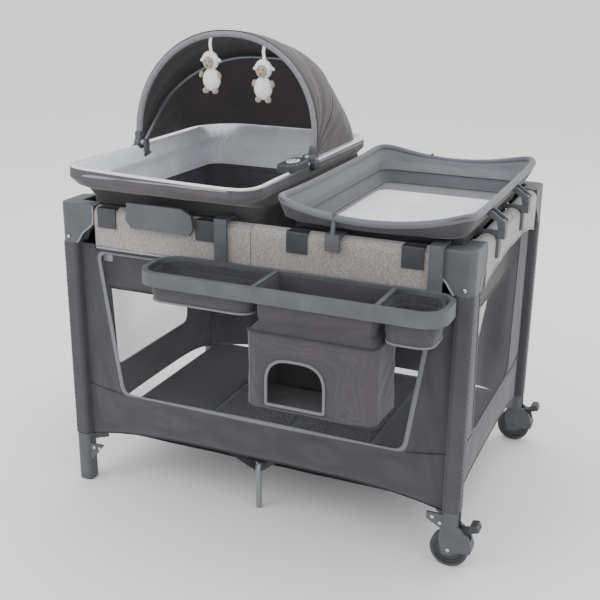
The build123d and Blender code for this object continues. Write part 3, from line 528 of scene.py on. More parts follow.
wall = {"inset": 2.5 * mm, "puff": 3.0 * mm, "cloth": 2.2 * mm, "net": 0.6 * mm, "binding": 11 * mm,
        "bottomCorner": 0.128, "bottomMiddle": 0.158, "top": 0.636, "sideTop": 0.690,
        "frontWindow": (0.363, 0.256, 0.415, 0.617), "sideWindow": (0.185, 0.256, 0.214, 0.660),
        "windowCorner": 24 * mm, "keepX": 0.28, "keepY": 0.32}


def wallPoint(side, s, z, out):
    # s runs along the wall, out is away from the yard
    y = post["y"] - wall["inset"] + out
    x = post["x"] - wall["inset"] + out
    return {"front": Vector((s, -y, z)), "rear": Vector((-s, y, z)),
            "left": Vector((-x, -s, z)), "right": Vector((x, s, z))}[side]


def foldWall(piece, side):
    if side in ("front", "rear"):
        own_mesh(piece)
    else:
        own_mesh(piece)


def addWall(side, body, stands=()):
    long = side in ("front", "rear")
    half = (post["x"] if long else post["y"]) - 18 * mm
    low, lowZ, high, highZ = wall["frontWindow"] if long else wall["sideWindow"]
    top = wall["top"] if long else wall["sideTop"]
    outer = [(-half, wall["bottomCorner"]), (half, wall["bottomCorner"]), (half, top), (-half, top)]
    window = [(-low, lowZ), (low, lowZ), (high, highZ), (-high, highZ)]

    def clothPlace(u, v):
        edge, hole = outlineAt(outer, 2 * mm, u), outlineAt(window, wall["windowCorner"], u)
        if edge.y < 0.2:
            rise = wall["bottomMiddle"] - wall["bottomCorner"]
            edge.y += rise * max(0.0, 1 - (edge.x / half) ** 4)
        spot = edge.lerp(hole, v)
        puff = math.sin(math.pi * min(max(v, 0), 1)) * wall["puff"]
        folds = ripple(spot.x * 1.7 + spot.y * 0.6, ((3, 0.5, 0.4), (7, 0.3, 1.9), (13, 0.2, 0.7)))
        return wallPoint(side, spot.x, spot.y, puff * (0.7 + 0.5 * folds))
    cloth = thicken(sheetOf(side + "WallCloth", 160, 10, clothPlace), wall["cloth"])
    smoothed(cloth, 60)
    dress(cloth, body, charcoalCloth, stands)

    def netPlace(u, v):
        hole = outlineAt(window, wall["windowCorner"], u)
        middle = Vector((0, (lowZ + highZ) / 2))
        spot = middle.lerp(hole, v)
        return wallPoint(side, spot.x, spot.y, -1.5 * mm * (1 - v * v))
    net = sheetOf(side + "WallNetting", 64, 8, netPlace)
    thicken(net, wall["net"])
    dress(net, body, wallNetting)
    width = wall["binding"] if long else wall["binding"] * 0.35

    def bindPlace(u, v):
        hole = outlineAt(window, wall["windowCorner"], u)
        middle = Vector((0, (lowZ + highZ) / 2))
        away = (hole - middle).normalized()
        spot = hole + away * width * (v - 0.35)
        return wallPoint(side, spot.x, spot.y, 1.6 * mm + 0.8 * mm * math.sin(math.pi * v))
    binding = thicken(sheetOf(side + "WindowBinding", 96, 4, bindPlace), 1.8 * mm)
    smoothed(binding, 60)
    dress(binding, body, bindingTape)
    seams = []
    for sign in (-1, 1):
        for rail in ("low", "diagonal"):
            if rail == "low":
                ends = [(sign * (low + 4 * mm), lowZ - 2 * mm), (sign * half, lowZ + 14 * mm)]
            else:
                ends = [(sign * high, highZ), (sign * (high + 10 * mm), top)]
            path = [wallPoint(side, a + (c - a) * t, b + (d - b) * t,
                              3.2 * mm * math.sin(math.pi * t) + 0.6 * mm)
                    for (a, b), (c, d) in (ends,) for t in (0, 0.25, 0.5, 0.75, 1)]
            seams.append(cordOf(side + "Seam", path, 1.0 * mm))
    hem = []
    for step in range(25):
        s = -half + 2 * half * step / 24
        rise = (wall["bottomMiddle"] - wall["bottomCorner"]) * max(0.0, 1 - (s / half) ** 4)
        hem.append(wallPoint(side, s, wall["bottomCorner"] + rise, -0.5 * mm))
    seams.append(cordOf(side + "Hem", hem, 2.2 * mm))
    trimSeams = joinAll(side + "WallSeams", seams)
    dress(trimSeams, body, darkCloth)
    for piece in (cloth, net, binding, trimSeams):
        foldWall(piece, side)


addWall("front", "corner_fl", ("yard_walls",))
addWall("rear", "corner_rl")
addWall("left", "corner_fl")
addWall("right", "corner_fr")
print("yard walls ready")


sleeve = {"half": 19.8 * mm, "bottom": {"plain": 0.134, "wheel": 0.139}, "top": 0.640, "ribs": 13 * mm,
          "ribDepth": 1.5 * mm, "thick": 1.6 * mm}


def addSleeve(corner, signX, signY):
    low = sleeve["bottom"]["wheel" if signX > 0 else "plain"]

    def place(u, v):
        rect = (-sleeve["half"], sleeve["half"], -sleeve["half"], sleeve["half"])
        around = rectAt(rect, 12 * mm, u)
        z = low + (sleeve["top"] - low) * v
        outwards = max(0.0, around.x * signX / sleeve["half"])
        quilted = outwards > 0.55
        rib = abs(math.sin(math.pi * (z + around.y * signY * 0.8) / sleeve["ribs"])) if quilted else 0.5
        grow = 1 + sleeve["ribDepth"] / sleeve["half"] * (rib - 0.5)
        return Vector((post["x"] * signX + around.x * grow, post["y"] * signY + around.y * grow, z))
    piece = sheetOf(f"postSleeve_{corner}", 48, 150, place)
    weldAndTurnOut(piece)
    thicken(piece, sleeve["thick"])
    smoothed(piece, 60)
    dress(piece, "corner_" + corner, charcoalCloth)
    x = (post["x"] + sleeve["half"] - 1 * mm) * signX
    pipings = []
    for y in (-1, 1):
        side = post["y"] * signY + y * sleeve["half"] * 0.42
        pipings.append(cordOf("piping",
                              [(x, side,
                                low + (sleeve["top"] - low) * t / 6) for t in range(7)], 1.3 * mm))
    welt = joinAll(f"sleevePiping_{corner}", pipings)
    dress(welt, "corner_" + corner, bindingTape)


corners = {"fl": (-1, -1), "fr": (1, -1), "rl": (-1, 1), "rr": (1, 1)}
for corner, (signX, signY) in corners.items():
    addSleeve(corner, signX, signY)


strip = {"radius": 2.0 * mm, "out": 20.2 * mm, "tip": 74 * mm}
edgePlastic = mouldedPlastic("moulded edge strip pale grey", "#868a8a", "#9a9e9e", 0.9 * mm)


def addCastingStrip(corner, signX, signY):
    parts = []
    for along in (0, 1):
        outline = [(-strip["tip"] + 3 * mm, -13 * mm, 0.737),
                   (-strip["tip"] + 3 * mm, 17 * mm, 0.7365),
                   (-strip["tip"] + 2 * mm, strip["out"], 0.730),
                   (-strip["tip"] + 2 * mm, strip["out"], 0.706),
                   (-strip["tip"] + 4 * mm, strip["out"], 0.691),
                   (-0.052, strip["out"], 0.6755),
                   (-0.040, strip["out"], 0.6665),
                   (-0.031, strip["out"], 0.651),
                   (-0.0235, strip["out"], 0.6415)]
        points = []
        for a, b, z in outline:
            x, y = (a, b) if along == 0 else (b, a)
            points.append((signX * (post["x"] + x), signY * (post["y"] + y), z))
        parts.append(cordOf("strip", points, strip["radius"]))
    piece = joinAll(f"castingEdge_{corner}", parts)
    dress(piece, "corner_" + corner, edgePlastic)


for corner, (signX, signY) in corners.items():
    addCastingStrip(corner, signX, signY)


def addRivets(corner, signX, signY):
    rivets = []
    spots = [(0.0, 20 * mm + 1.2 * mm, 0.654)]
    spots += [(0.0, 18.2 * mm, 0.044), (-22 * mm, 18.2 * mm, 0.108),
              (-40 * mm, 18.2 * mm, 0.120)] if signX > 0 \
        else [(-46 * mm, 14.6 * mm, 0.095), (-30 * mm, 14.6 * mm, 0.095)]
    for x, y, z in spots:
        rivets.append(ballOf("rivet", (signX * (post["x"] + x), signY * (post["y"] + y), z),
                             (4.6 * mm, 1.6 * mm, 4.6 * mm),
                             detail=6))
    piece = joinAll(f"rivets_{corner}", rivets)
    dress(piece, "corner_" + corner, brightSteel)


for corner, (signX, signY) in corners.items():
    addRivets(corner, signX, signY)
print("sleeves and castings ready")


floorSheet = {"halfWidth": 0.4525, "halfDepth": 0.311, "z": 0.1335, "wave": 0.6 * mm, "thick": 1.6 * mm,
              "keep": 0.12}


def addFloorSheet():
    # four quarters, each riding its own floor tube
    lifts = {joint["name"]: joint for joint in frame["record"]["behaviour"]["joints"]}
    for corner, (signX, signY) in corners.items():
        def place(u, v, signX=signX, signY=signY):
            x, y = signX * u * floorSheet["halfWidth"], signY * v * floorSheet["halfDepth"]
            wave = ripple(x / 0.905 + y / 1.555, ((5, 0.6, 0), (9, 0.4, 1)))
            return Vector((x, y, floorSheet["z"] + floorSheet["wave"] * wave))
        quarter = thicken(sheetOf(f"floorSheet_{corner}", 20, 14, place), floorSheet["thick"])
        dress(quarter, f"floor_tube_{corner}", darkCloth)
        lift = lifts[f"floor_tube_{corner}_lift"]
        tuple(lift["axis"])
        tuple(lift["pos_m"])
        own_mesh(quarter)


def addMattress():
    x0, x1, y0, y1, z0, z1 = boxOf("mattress")
    panels = []
    for index in range(4):
        a = x0 + (x1 - x0) * index / 4 + 1.5 * mm
        b = x0 + (x1 - x0) * (index + 1) / 4 - 1.5 * mm

        def place(u, v, a=a, b=b):
            inset = abs(2 * v - 1) ** 6 * 4 * mm
            edge = rectAt((a + inset, b - inset, y0 + inset, y1 - inset), 10 * mm, u)
            return Vector((edge.x, edge.y, z0 + (z1 - z0) * v))
        side = sheetOf("panel", 64, 8, place)
        for end, z in ((0, z0), (1, z1)):
            def cap(u, v, a=a, b=b, z=z, end=end):
                edge = rectAt((a + 4 * mm, b - 4 * mm, y0 + 4 * mm, y1 - 4 * mm), 10 * mm, u)
                middle = Vector(((a + b) / 2, (y0 + y1) / 2))
                crown = 2.5 * mm * (1 - v ** 4) if end else 0
                spot = middle.lerp(edge, v)
                return Vector((spot.x, spot.y, z + crown))
            side = joinAll("panel", [side, sheetOf("cap", 64, 8, cap)])
        weldAndTurnOut(side)
        panels.append(side)
    mattress = joinAll("mattressPanels", panels)
    smoothed(mattress, 60)
    dress(mattress, "mattress", darkCloth, ("mattress",))


def addInsert():
    x0, x1, y0, y1, z0, z1 = boxOf("bassinet_insert")
    rect = (x0, x1, y0, y1)
    levels = [(rect, 30 * mm, z1),
              (shrunk(rect, 0.5 * mm), 30 * mm, z0 + 0.03),
              (shrunk(rect, 3 * mm), 34 * mm, z0 + 2 * mm),
              (shrunk(rect, 20 * mm), 40 * mm, z0),
              (shrunk(rect, 0.30), 1 * mm, z0)]

    def adjust(spot, u, v):
        sag = 1.4 * mm * ripple(u, ((17, 0.6, 0.3), (31, 0.4, 1.4)))
        return spot + Vector((0, 0, -sag if v < 0.3 else 0.0))
    insert = thicken(shellOf("insertTub", levels, 120, 28, adjust), 2.4 * mm)
    smoothed(insert, 50)
    dress(insert, "bassinet_insert", skirtCloth, ("bassinet_insert",))
    piping = [(*rectAt(shrunk(rect, 1 * mm), 30 * mm, step / 80), z0 + 4 * mm) for step in range(80)]
    dress(cordOf("insertPiping", piping, 2.6 * mm, closed=True), "bassinet_insert", darkCloth)
    clips = [blockOf("clip", (sign * 0.405 - 0.012, y0 - 6 * mm, 0.590),
                     (sign * 0.405 + 0.012, y0 + 1 * mm, 0.612), 2 * mm)
             for sign in (-1, 1)]
    dress(joinAll("insertClips", clips), "bassinet_insert", whitePlastic)


addFloorSheet()
addMattress()
addInsert()
print("floor, mattress and insert ready")


trim = {"out": 20.5 * mm, "top": 0.7345, "shoulder": 0.716, "frontLow": 0.634, "sideLow": 0.662,
        "thick": 1.8 * mm,
        "gap": 1.5 * mm, "wave": 1.2 * mm, "endDrop": -0.030}
trimEnds = {"x": post["hinge"] - 26 * mm, "y": post["hingeY"] - 26 * mm}


def addTrim(side, half, body, stands=()):
    long = side in ("front", "rear")
    reach = trimEnds["x"] if long else trimEnds["y"]
    start, end = (-reach, -trim["gap"] / 2) if half == 0 else (trim["gap"] / 2, reach)
    low = trim["frontLow"] if long else trim["sideLow"]

    def hangAt(s):
        # the lower edge, which rises away from the castings on the short sides
        return low + (0 if long else trim["endDrop"] * (abs(s) / reach) ** 3)

    def place(u, v):
        s = start + (end - start) * u
        hang = hangAt(s)
        if v < 0.36:
            share = v / 0.36
            out, z = trim["out"] + trim["wave"] * (1 - share) * ripple(s * 6,
                                                                       ((1, 0.6, 0.2), (2.3, 0.4, 1))), \
                hang + (trim["shoulder"] - hang) * share
        elif v > 0.64:
            share = (1 - v) / 0.36
            out, z = -trim["out"], hang + 0.004 + (trim["shoulder"] - hang - 0.004) * share
        else:
            turn = math.pi * (v - 0.36) / 0.28
            out = trim["out"] * math.cos(turn)
            z = trim["shoulder"] + (trim["top"] - trim["shoulder"]) * math.sin(turn)
        rail = wallPoint(side, s, z, out)
        centre = wallPoint(side, s, z, wall["inset"])
        return centre + (rail - wallPoint(side, s, z, 0))
    piece = thicken(sheetOf(f"railTrim_{side}_{half}", 40, 36, place), trim["thick"])
    smoothed(piece, 60)
    dress(piece, body, trimCloth, stands)
    stitches = []
    for t in range(17):
        s = start + (end - start) * t / 16
        stitches.append(wallPoint(side, s, hangAt(s) + 6 * mm, wall["inset"] + trim["out"] + 0.2 * mm))
    hem = cordOf(f"trimHem_{side}_{half}", stitches, 0.9 * mm)
    dress(hem, body, bindingTape)


trimBodies = {"front": ("rail_front_l", "rail_front_r"), "rear": ("rail_rear_r", "rail_rear_l"),
              "left": ("rail_left_r", "rail_left_f"), "right": ("rail_right_f", "rail_right_r")}
for side, bodies in trimBodies.items():
    for half, body in enumerate(bodies):
        addTrim(side, half, body, ("rail_trim",) if side == "front" and half == 0 else ())
print("rail trim ready")


bass = {"thick": 3.0 * mm, "corner": 62 * mm, "waistCorner": 48 * mm, "frontLift": 10 * mm,
        "pleat": 3.6 * mm,
        "liningDrop": 98 * mm, "piping": 3.6 * mm}
tubX0, tubX1, tubY0, tubY1, tubZ0, tubZ1 = boxOf("bassinet_tub")
rimZ = boxOf("bassinet_frame")[5]
tubRim = (tubX0, tubX1, tubY0, tubY1)
tubWaist = (tubX0 + 8 * mm, tubX1 - 12 * mm, -0.309, 0.309)
tubLow = shrunk(tubWaist, 14 * mm)


def rimHeight(x, y):
    # the rim dips a little along the front and rises at the front left corner
    front = max(0.0, -y / 0.398)
    left = (tubX1 - x) / (tubX1 - tubX0)
    return bass["frontLift"] * (left ** 2 * front - 0.35 * front * (1 - left)) - 1.5 * mm


def addBassinet():
    outer = [(shrunk(tubRim, -1.0 * mm), bass["corner"], rimZ + 0.5 * mm),
             (shrunk(tubRim, -1.5 * mm), bass["corner"], 0.802),
             (shrunk(tubRim, 13 * mm), bass["corner"], 0.785),
             (shrunk(tubWaist, -9 * mm), bass["waistCorner"], 0.764),
             (tubWaist, bass["waistCorner"], 0.746),
             (shrunk(tubWaist, 6 * mm), 40 * mm, 0.69),
             (tubLow, 36 * mm, 0.648),
             (shrunk(tubLow, 14 * mm), 30 * mm, 0.6405),
             (ridgeOf(tubLow), 0.01 * mm, 0.6405)]

    def outside(spot, u, v):
        spot.z += rimHeight(spot.x, spot.y) * max(0.0, 1 - v * 2.6)
        tuck = 1.6 * mm * ripple(u, ((9, 0.5, 0.2), (23, 0.5, 1.1))) * math.sin(math.pi * min(v * 1.8, 1))
        middle = Vector(((tubX0 + tubX1) / 2, 0, spot.z))
        return spot + (spot - middle).normalized() * tuck
    skirt = thicken(shellOf("bassinetSkirt", outer, 220, 48, outside), bass["thick"])
    smoothed(skirt, 60)
    dress(skirt, "bassinet", skirtCloth, ("bassinet_tub",))
    inner = [(shrunk(tubRim, 3 * mm), bass["corner"], rimZ + 3.0 * mm),
             (shrunk(tubRim, 9 * mm), bass["corner"], rimZ + 3.5 * mm),
             (shrunk(tubRim, 19 * mm), 56 * mm, rimZ - 12 * mm),
             (shrunk(tubRim, 27 * mm), 54 * mm, 0.792),
             (tubWaist, 48 * mm, 0.768),
             (shrunk(tubWaist, 13 * mm), 46 * mm, 0.748),
             (shrunk(tubWaist, 15 * mm), 46 * mm, rimZ - bass["liningDrop"])]

    def inside(spot, u, v):
        rearLift = 18 * mm * max(0.0, spot.y / 0.34) * (1 - abs(2 * v - 0.3)) * 0.45
        spot.z += rimHeight(spot.x, spot.y) * (1 - v) + rearLift
        pleats = ripple(u, ((29, 0.45, 0.5), (47, 0.3, 1.7), (71, 0.25, 0.2)))
        fold = bass["pleat"] * pleats * math.sin(math.pi * v * 0.92)
        middle = Vector(((tubX0 + tubX1) / 2, 0, spot.z))
        return spot + (middle - spot).normalized() * fold
    lining = thicken(shellOf("bassinetLining", inner, 420, 20, inside), 1.6 * mm)
    smoothed(lining, 60)
    dress(lining, "bassinet", liningCloth)
    lowerLevels = [(shrunk(tubWaist, 9 * mm), 46 * mm, rimZ - bass["liningDrop"] + 4 * mm),
                   (shrunk(tubWaist, 12 * mm), 42 * mm, 0.70),
                   (shrunk(tubLow, 8 * mm), 38 * mm, 0.651)]

    def wavy(spot, u, v):
        return spot + Vector((2 * mm * ripple(u + v * 0.1, ((11, 0.6, 0), (19, 0.4, 1))), 0, 0))
    lower = thicken(shellOf("bassinetMeshWall", lowerLevels, 160, 12, wavy), 1.2 * mm)
    smoothed(lower, 60)
    dress(lower, "bassinet", skirtCloth)
    liningHem = [(*rectAt(shrunk(tubWaist, 10 * mm), 46 * mm, t / 96),
                  rimZ - bass["liningDrop"] + 2 * mm) for t in range(96)]
    dress(cordOf("liningHem", liningHem, 2.4 * mm, closed=True), "bassinet", darkCloth)
    rim = []
    for t in range(120):
        x, y = rectAt(shrunk(tubRim, 2 * mm), bass["corner"], t / 120)
        rim.append((x, y, rimZ + 3 * mm + rimHeight(x, y)))
    dress(cordOf("rimPiping", rim, bass["piping"], closed=True), "bassinet", whitePadCloth)


def addBassinetPad():
    x0, x1, y0, y1, z0, z1 = boxOf("bassinet_pad")

    def place(u, v):
        edge = rectAt((x0, x1, y0, y1), 36 * mm, u)
        middle = Vector(((x0 + x1) / 2, (y0 + y1) / 2))
        share = min(v * 1.35, 1.0)
        spot = middle.lerp(edge, share)
        crown = (z1 - z0) * (1 - share ** 6)
        quilt = 1.2 * mm * abs(math.sin(spot.x * 40)) * abs(math.sin(spot.y * 40)) * (1 - share ** 8)
        return Vector((spot.x, spot.y, z0 + max(0.0, crown) + quilt - (0.5 * mm if v > 0.98 else 0)))
    pad = sheetOf("bassinetPad", 120, 40, place)
    smoothed(pad, 60)
    dress(pad, "bassinet", whitePadCloth, ("bassinet_pad",))


addBassinet()
addBassinetPad()
print("bassinet ready")


canopy = {"x": (tubX0 + tubX1) / 2, "y": -0.061, "z": 0.832, "half": 0.2425, "thick": 1.8 * mm,
          "binding": 7.2 * mm}
arches = [(7.0, 0.2500, 0.2885, 0.242),
          (9.5, 0.2500, 0.2885, 0.242),
          (28.0, 0.2470, 0.2960, 0.225),
          (48.0, 0.2440, 0.3290, 0.205),
          (52.0, 0.2440, 0.3290, 0.205),
          (70.0, 0.2440, 0.3400, 0.165),
          (90.0, 0.2400, 0.3900, 0.130)]


def archPoint(lean, half, reach, corner, u):
    # along a hoop: up the left leg, over the top and down the right leg
    leg, curve = max(reach - corner, 1 * mm), corner * math.pi / 2
    flat = max(2 * (half - corner), 1 * mm)
    walk = u * (2 * leg + 2 * curve + flat)
    if walk < leg:
        x, up = -half, walk
    elif walk < leg + curve:
        turn = (walk - leg) / corner
        x, up = -half + corner * (1 - math.cos(turn)), leg + corner * math.sin(turn)
    elif walk < leg + curve + flat:
        x, up = -half + corner + walk - leg - curve, reach
    elif walk < leg + 2 * curve + flat:
        turn = (walk - leg - curve - flat) / corner
        x, up = half - corner * (1 - math.sin(turn)), leg + corner * math.cos(turn)
    else:
        x, up = half, 2 * leg + 2 * curve + flat - walk
    tilt = math.radians(lean)
    return Vector((canopy["x"] + x, canopy["y"] + up * math.sin(tilt), canopy["z"] + up * math.cos(tilt)))


def canopyPlace(u, v):
    place = v * (len(arches) - 1)
    index = min(int(place), len(arches) - 2)
    share = place - index
    lean, half, reach, corner = [a + (b - a) * share for a, b in zip(arches[index], arches[index + 1])]
    spot = archPoint(lean, half, reach, corner, u)
    hinge = Vector((canopy["x"], canopy["y"] + 0.02, canopy["z"]))
    away = (spot - hinge).normalized()
    side = abs(2 * u - 1) ** 2
    fold = 3.0 * mm * side * ripple(v + u * 0.08, ((4.5, 0.5, 0.3), (9, 0.5, 1.3)))
    slack = 4.0 * mm * math.sin(math.pi * v) * ripple(u, ((2, 0.4, 0.8), (5, 0.3, 0.1)))
    spot += away * (fold + slack)
    spot.z = max(spot.z, 0.8235)
    return spot


canopyBend = ("bassinet", "canopy_front_hoop", (canopy["x"], 0.300, 0.860), (canopy["x"], -0.030, 1.060))


def addCanopy():
    cover = thicken(sheetOf("canopyCover", 150, 60, canopyPlace), canopy["thick"], offset=0)
    smoothed(cover, 60)
    dress(cover, canopyBend, canopyClothMat, ("canopy_cloth",))
    binding = [archPoint(7.6, 0.2425, 0.280, 0.2345, 0.012 + 0.976 * t / 60) for t in range(61)]
    hoop = cordOf("hoopBinding", binding, canopy["binding"], sides=4)
    dress(hoop, "canopy_front_hoop", hoopCloth)
    parts = []
    for sign in (-1, 1):
        x = canopy["x"] + sign * canopy["half"]
        deselectAll()
        bpy.ops.mesh.primitive_cylinder_add(vertices=40, radius=14.5 * mm, depth=16 * mm,
                                            location=(x + sign * 1 * mm, canopy["y"], canopy["z"]),
                                            rotation=(0, math.pi / 2, 0))
        knuckle = bpy.context.object
        bpy.ops.object.transform_apply(location=True, rotation=True, scale=True)
        bpy.ops.object.mode_set(mode="EDIT")
        bpy.ops.mesh.select_all(action="SELECT")
        bpy.ops.mesh.bevel(offset=2.5 * mm, segments=3, affect="EDGES")
        bpy.ops.object.mode_set(mode="OBJECT")
        parts.append(knuckle)
        parts.append(blockOf("collar", (x - 9 * mm, canopy["y"] - 9 * mm, canopy["z"] + 8 * mm),
                             (x + 9 * mm, canopy["y"] + 11 * mm, canopy["z"] + 30 * mm), 4 * mm))
    knuckles = joinAll("canopyKnuckles", parts)
    smoothed(knuckles, 40)
    dress(knuckles, "canopy_front_hoop", slatePlastic)
    parts = []
    for sign in (-1, 1):
        x = canopy["x"] + sign * canopy["half"]
        parts.append(blockOf("clamp", (x - 13 * mm, canopy["y"] - 20 * mm, rimZ - 14 * mm),
                             (x + 13 * mm, canopy["y"] + 14 * mm, rimZ + 7 * mm), 4 * mm))
    dress(joinAll("canopyClamps", parts), "bassinet", darkPlastic)
    rivets = [ballOf("rivet", (canopy["x"] + sign * (canopy["half"] + 9.4 * mm), canopy["y"],
                               canopy["z"]),
                     (1.4 * mm, 4 * mm, 4 * mm), detail=8) for sign in (-1, 1)]
    dress(joinAll("canopyRivets", rivets), "canopy_front_hoop", brightSteel)
    seam = [canopyPlace(0.001 + 0.998 * t / 60,
                        0.58) + Vector((0, 1.0 * mm, 1.0 * mm)) for t in range(61)]
    ridge = cordOf("canopySeam", seam, 1.3 * mm)
    dress(ridge, canopyBend, darkCloth)


addCanopy()
print("canopy ready")


lamb = {"head": (21 * mm, 15 * mm, 21.5 * mm), "face": (14 * mm, 7 * mm, 15.5 * mm),
        "body": (24 * mm, 14 * mm, 28 * mm)}


def addLamb(side, tilt):
    x0, x1, y0, y1, z0, z1 = boxOf("toy_" + side)
    x, y, top = (x0 + x1) / 2, (y0 + y1) / 2, z1 - 35 * mm
    headZ, bodyZ = top - 22 * mm, top - 66 * mm
    front = y - 13 * mm
    white = [ballOf("head", (x, y, headZ), lamb["head"]),
             ballOf("body", (x + tilt * 2 * mm, y, bodyZ), lamb["body"])]
    for sign in (-1, 1):
        white.append(ballOf("ear", (x + sign * 22 * mm, y, headZ + 4 * mm), (8 * mm, 4 * mm, 4.5 * mm),
                            (0, sign * 0.5, 0), 8))
    for index in range(9):
        angle = math.pi * index / 8
        white.append(ballOf("curl",
                            (x + 17 * mm * math.cos(angle), y - 3 * mm,
                             headZ + 3 * mm + 17 * mm * math.sin(angle)),
                            (6 * mm, 7 * mm, 6 * mm), detail=6))
    beige = [ballOf("face", (x, front, headZ - 2 * mm), lamb["face"])]
    for sign in (-1, 1):
        beige.append(ballOf("arm", (x + sign * 25 * mm, y - 4 * mm, bodyZ + 12 * mm),
                            (5 * mm, 5 * mm, 9 * mm),
                            (0, -sign * 0.35, 0), 8))
        beige.append(ballOf("foot", (x + sign * 13 * mm, y - 4 * mm, bodyZ - 27 * mm),
                            (8.5 * mm, 6.5 * mm, 8 * mm), detail=8))
    black = [ballOf("eye", (x + sign * 6.5 * mm, front - 6.4 * mm, headZ + 2.0 * mm),
                    (1.7 * mm, 1.3 * mm, 1.9 * mm), detail=6)
             for sign in (-1, 1)]
    black.append(ballOf("nose", (x, front - 6.6 * mm, headZ - 8 * mm), (2.6 * mm, 1.3 * mm, 1.7 * mm),
                        detail=6))
    fur = joinAll(f"lambFur_{side}", white)
    dress(fur, "toy_" + side, plush, ("toy_" + side,))
    face = joinAll(f"lambFace_{side}", beige)
    dress(face, "toy_" + side, plushFace)
    dress(joinAll(f"lambEyes_{side}", black), "toy_" + side, darkPlastic)
    ribbon = [(x + 1.2 * mm * math.sin(t * 1.3), y,
               top - 4 * mm + (z1 - top + 4 * mm) * t / 6) for t in range(7)]

    def place(u, v):
        step = v * 6
        low, share = min(int(step), 5), step - min(int(step), 5)
        spot = Vector(ribbon[low]).lerp(Vector(ribbon[low + 1]), share)
        return spot + Vector(((u - 0.5) * 8 * mm, 0, 0))
    dress(thicken(sheetOf(f"lambRibbon_{side}", 4, 24, place), 1.2 * mm, offset=0), "toy_" + side,
          whitePadCloth)


addLamb("left", 1)
addLamb("right", -1)
print("lambs ready")


def addMusicKeys():
    x0, x1, y0, y1, z0, z1 = boxOf("music_button")
    x, y = (x0 + x1) / 2, (y0 + y1) / 2
    keys = []
    for dx, dy in ((-5, -14), (5, -14), (-6, -2), (6, -2), (-5, 10), (5, 10), (0, 18)):
        keys.append(ballOf("key", (x + dx * mm, y + dy * mm, z1), (3.0 * mm, 4.2 * mm, 0.8 * mm),
                           detail=8))
    dress(joinAll("musicKeys", keys), "music_button", darkPlastic)


addMusicKeys()


changer = {"corner": 74 * mm, "dip": 20 * mm, "rise": 12 * mm, "thick": 3.2 * mm, "rim": 8.0 * mm}
trayX0, trayX1, trayY0, trayY1, trayZ0, trayZ1 = boxOf("changer_tray")
trayRim = (trayX0, trayX1, trayY0, trayY1)
trayMid = (trayX0 + 20 * mm, trayX1 - 31 * mm, -0.309, 0.309)
trayLow = shrunk(trayMid, 12 * mm)
changerRimZ = (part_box("changer_frame")[0].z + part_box("changer_frame")[1].z) / 2


def saddleHeight(x, y):
    # corners stand up, and the front and rear edges dip between them
    across = (2 * x - trayX0 - trayX1) / (trayX1 - trayX0)
    ends = (abs(y) / 0.365) ** 4
    middle = 1 - min(1.0, across ** 2 * 1.15)
    return ends * (changer["rise"] - (changer["dip"] + changer["rise"]) * middle)


def addChanger():
    levels = [(shrunk(trayRim, -1 * mm), changer["corner"], changerRimZ + 2 * mm),
              (shrunk(trayRim, 6 * mm), 70 * mm, 0.772),
              (shrunk(trayRim, 14 * mm), 60 * mm, 0.757),
              (trayMid, 52 * mm, 0.742),
              (shrunk(trayMid, 6 * mm), 46 * mm, 0.722),
              (trayLow, 40 * mm, 0.7085),
              (shrunk(trayLow, 18 * mm), 34 * mm, 0.7065),
              (ridgeOf(trayLow), 0.01 * mm, 0.7065)]

    def outside(spot, u, v):
        spot.z += saddleHeight(spot.x, spot.y) * max(0.0, 1 - v * 2.2)
        return spot
    outer = thicken(shellOf("changerShell", levels, 200, 42, outside), changer["thick"])
    smoothed(outer, 60)
    dress(outer, "changer", charcoalCloth, ("changer_tray",))
    inner = [(shrunk(trayRim, 4 * mm), 72 * mm, changerRimZ + 5 * mm),
             (shrunk(trayRim, 18 * mm), 66 * mm, 0.779),
             (shrunk(trayRim, 27 * mm), 60 * mm, 0.765),
             (shrunk(trayMid, 9 * mm), 34 * mm, 0.744),
             (shrunk(trayLow, 7 * mm), 26 * mm, 0.7155),
             (shrunk(trayLow, 12 * mm), 22 * mm, 0.7135),
             (ridgeOf(trayLow), 0.01 * mm, 0.7125)]

    def inside(spot, u, v):
        spot.z += saddleHeight(spot.x, spot.y) * max(0.0, 1 - v * 2.2)
        pull = 1.0 * mm * ripple(u + v * 0.2, ((13, 0.5, 0.4), (29, 0.5, 1.2))) * math.sin(math.pi * v)
        return spot + Vector((0, 0, pull))
    liner = thicken(shellOf("changerLiner", inner, 240, 48, inside), 1.6 * mm)
    smoothed(liner, 60)
    dress(liner, "changer", changerCloth)
    rim = []
    for t in range(120):
        x, y = rectAt(shrunk(trayRim, 5 * mm), changer["corner"], t / 120)
        rim.append((x, y, changerRimZ + saddleHeight(x, y)))
    tube = cordOf("changerRim", rim, changer["rim"], closed=True, sides=5)
    dress(tube, "changer", changerCloth, ("changer_frame",))
    seams = []
    for inset, z in ((trayMid, 0.7455), (shrunk(trayLow, 6 * mm), 0.7165)):
        ring = [(*rectAt(shrunk(inset, 10 * mm), 34 * mm, t / 80), z) for t in range(80)]
        seams.append(cordOf("seam", ring, 1.2 * mm, closed=True))
    for sx in (0, 1):
        for sy in (-1, 1):
            start = Vector((trayMid[sx] + (1 - 2 * sx) * 22 * mm, sy * 0.287, 0.7165))
            end = Vector((trayRim[sx] + (1 - 2 * sx) * 30 * mm, sy * 0.335, 0.781))
            route = [start.lerp(end, t / 5) + Vector((0, 0, 1.6 * mm)) for t in range(6)]
            seams.append(cordOf("seam", route, 1.2 * mm))
    dress(joinAll("changerSeams", seams), "changer", skirtCloth)


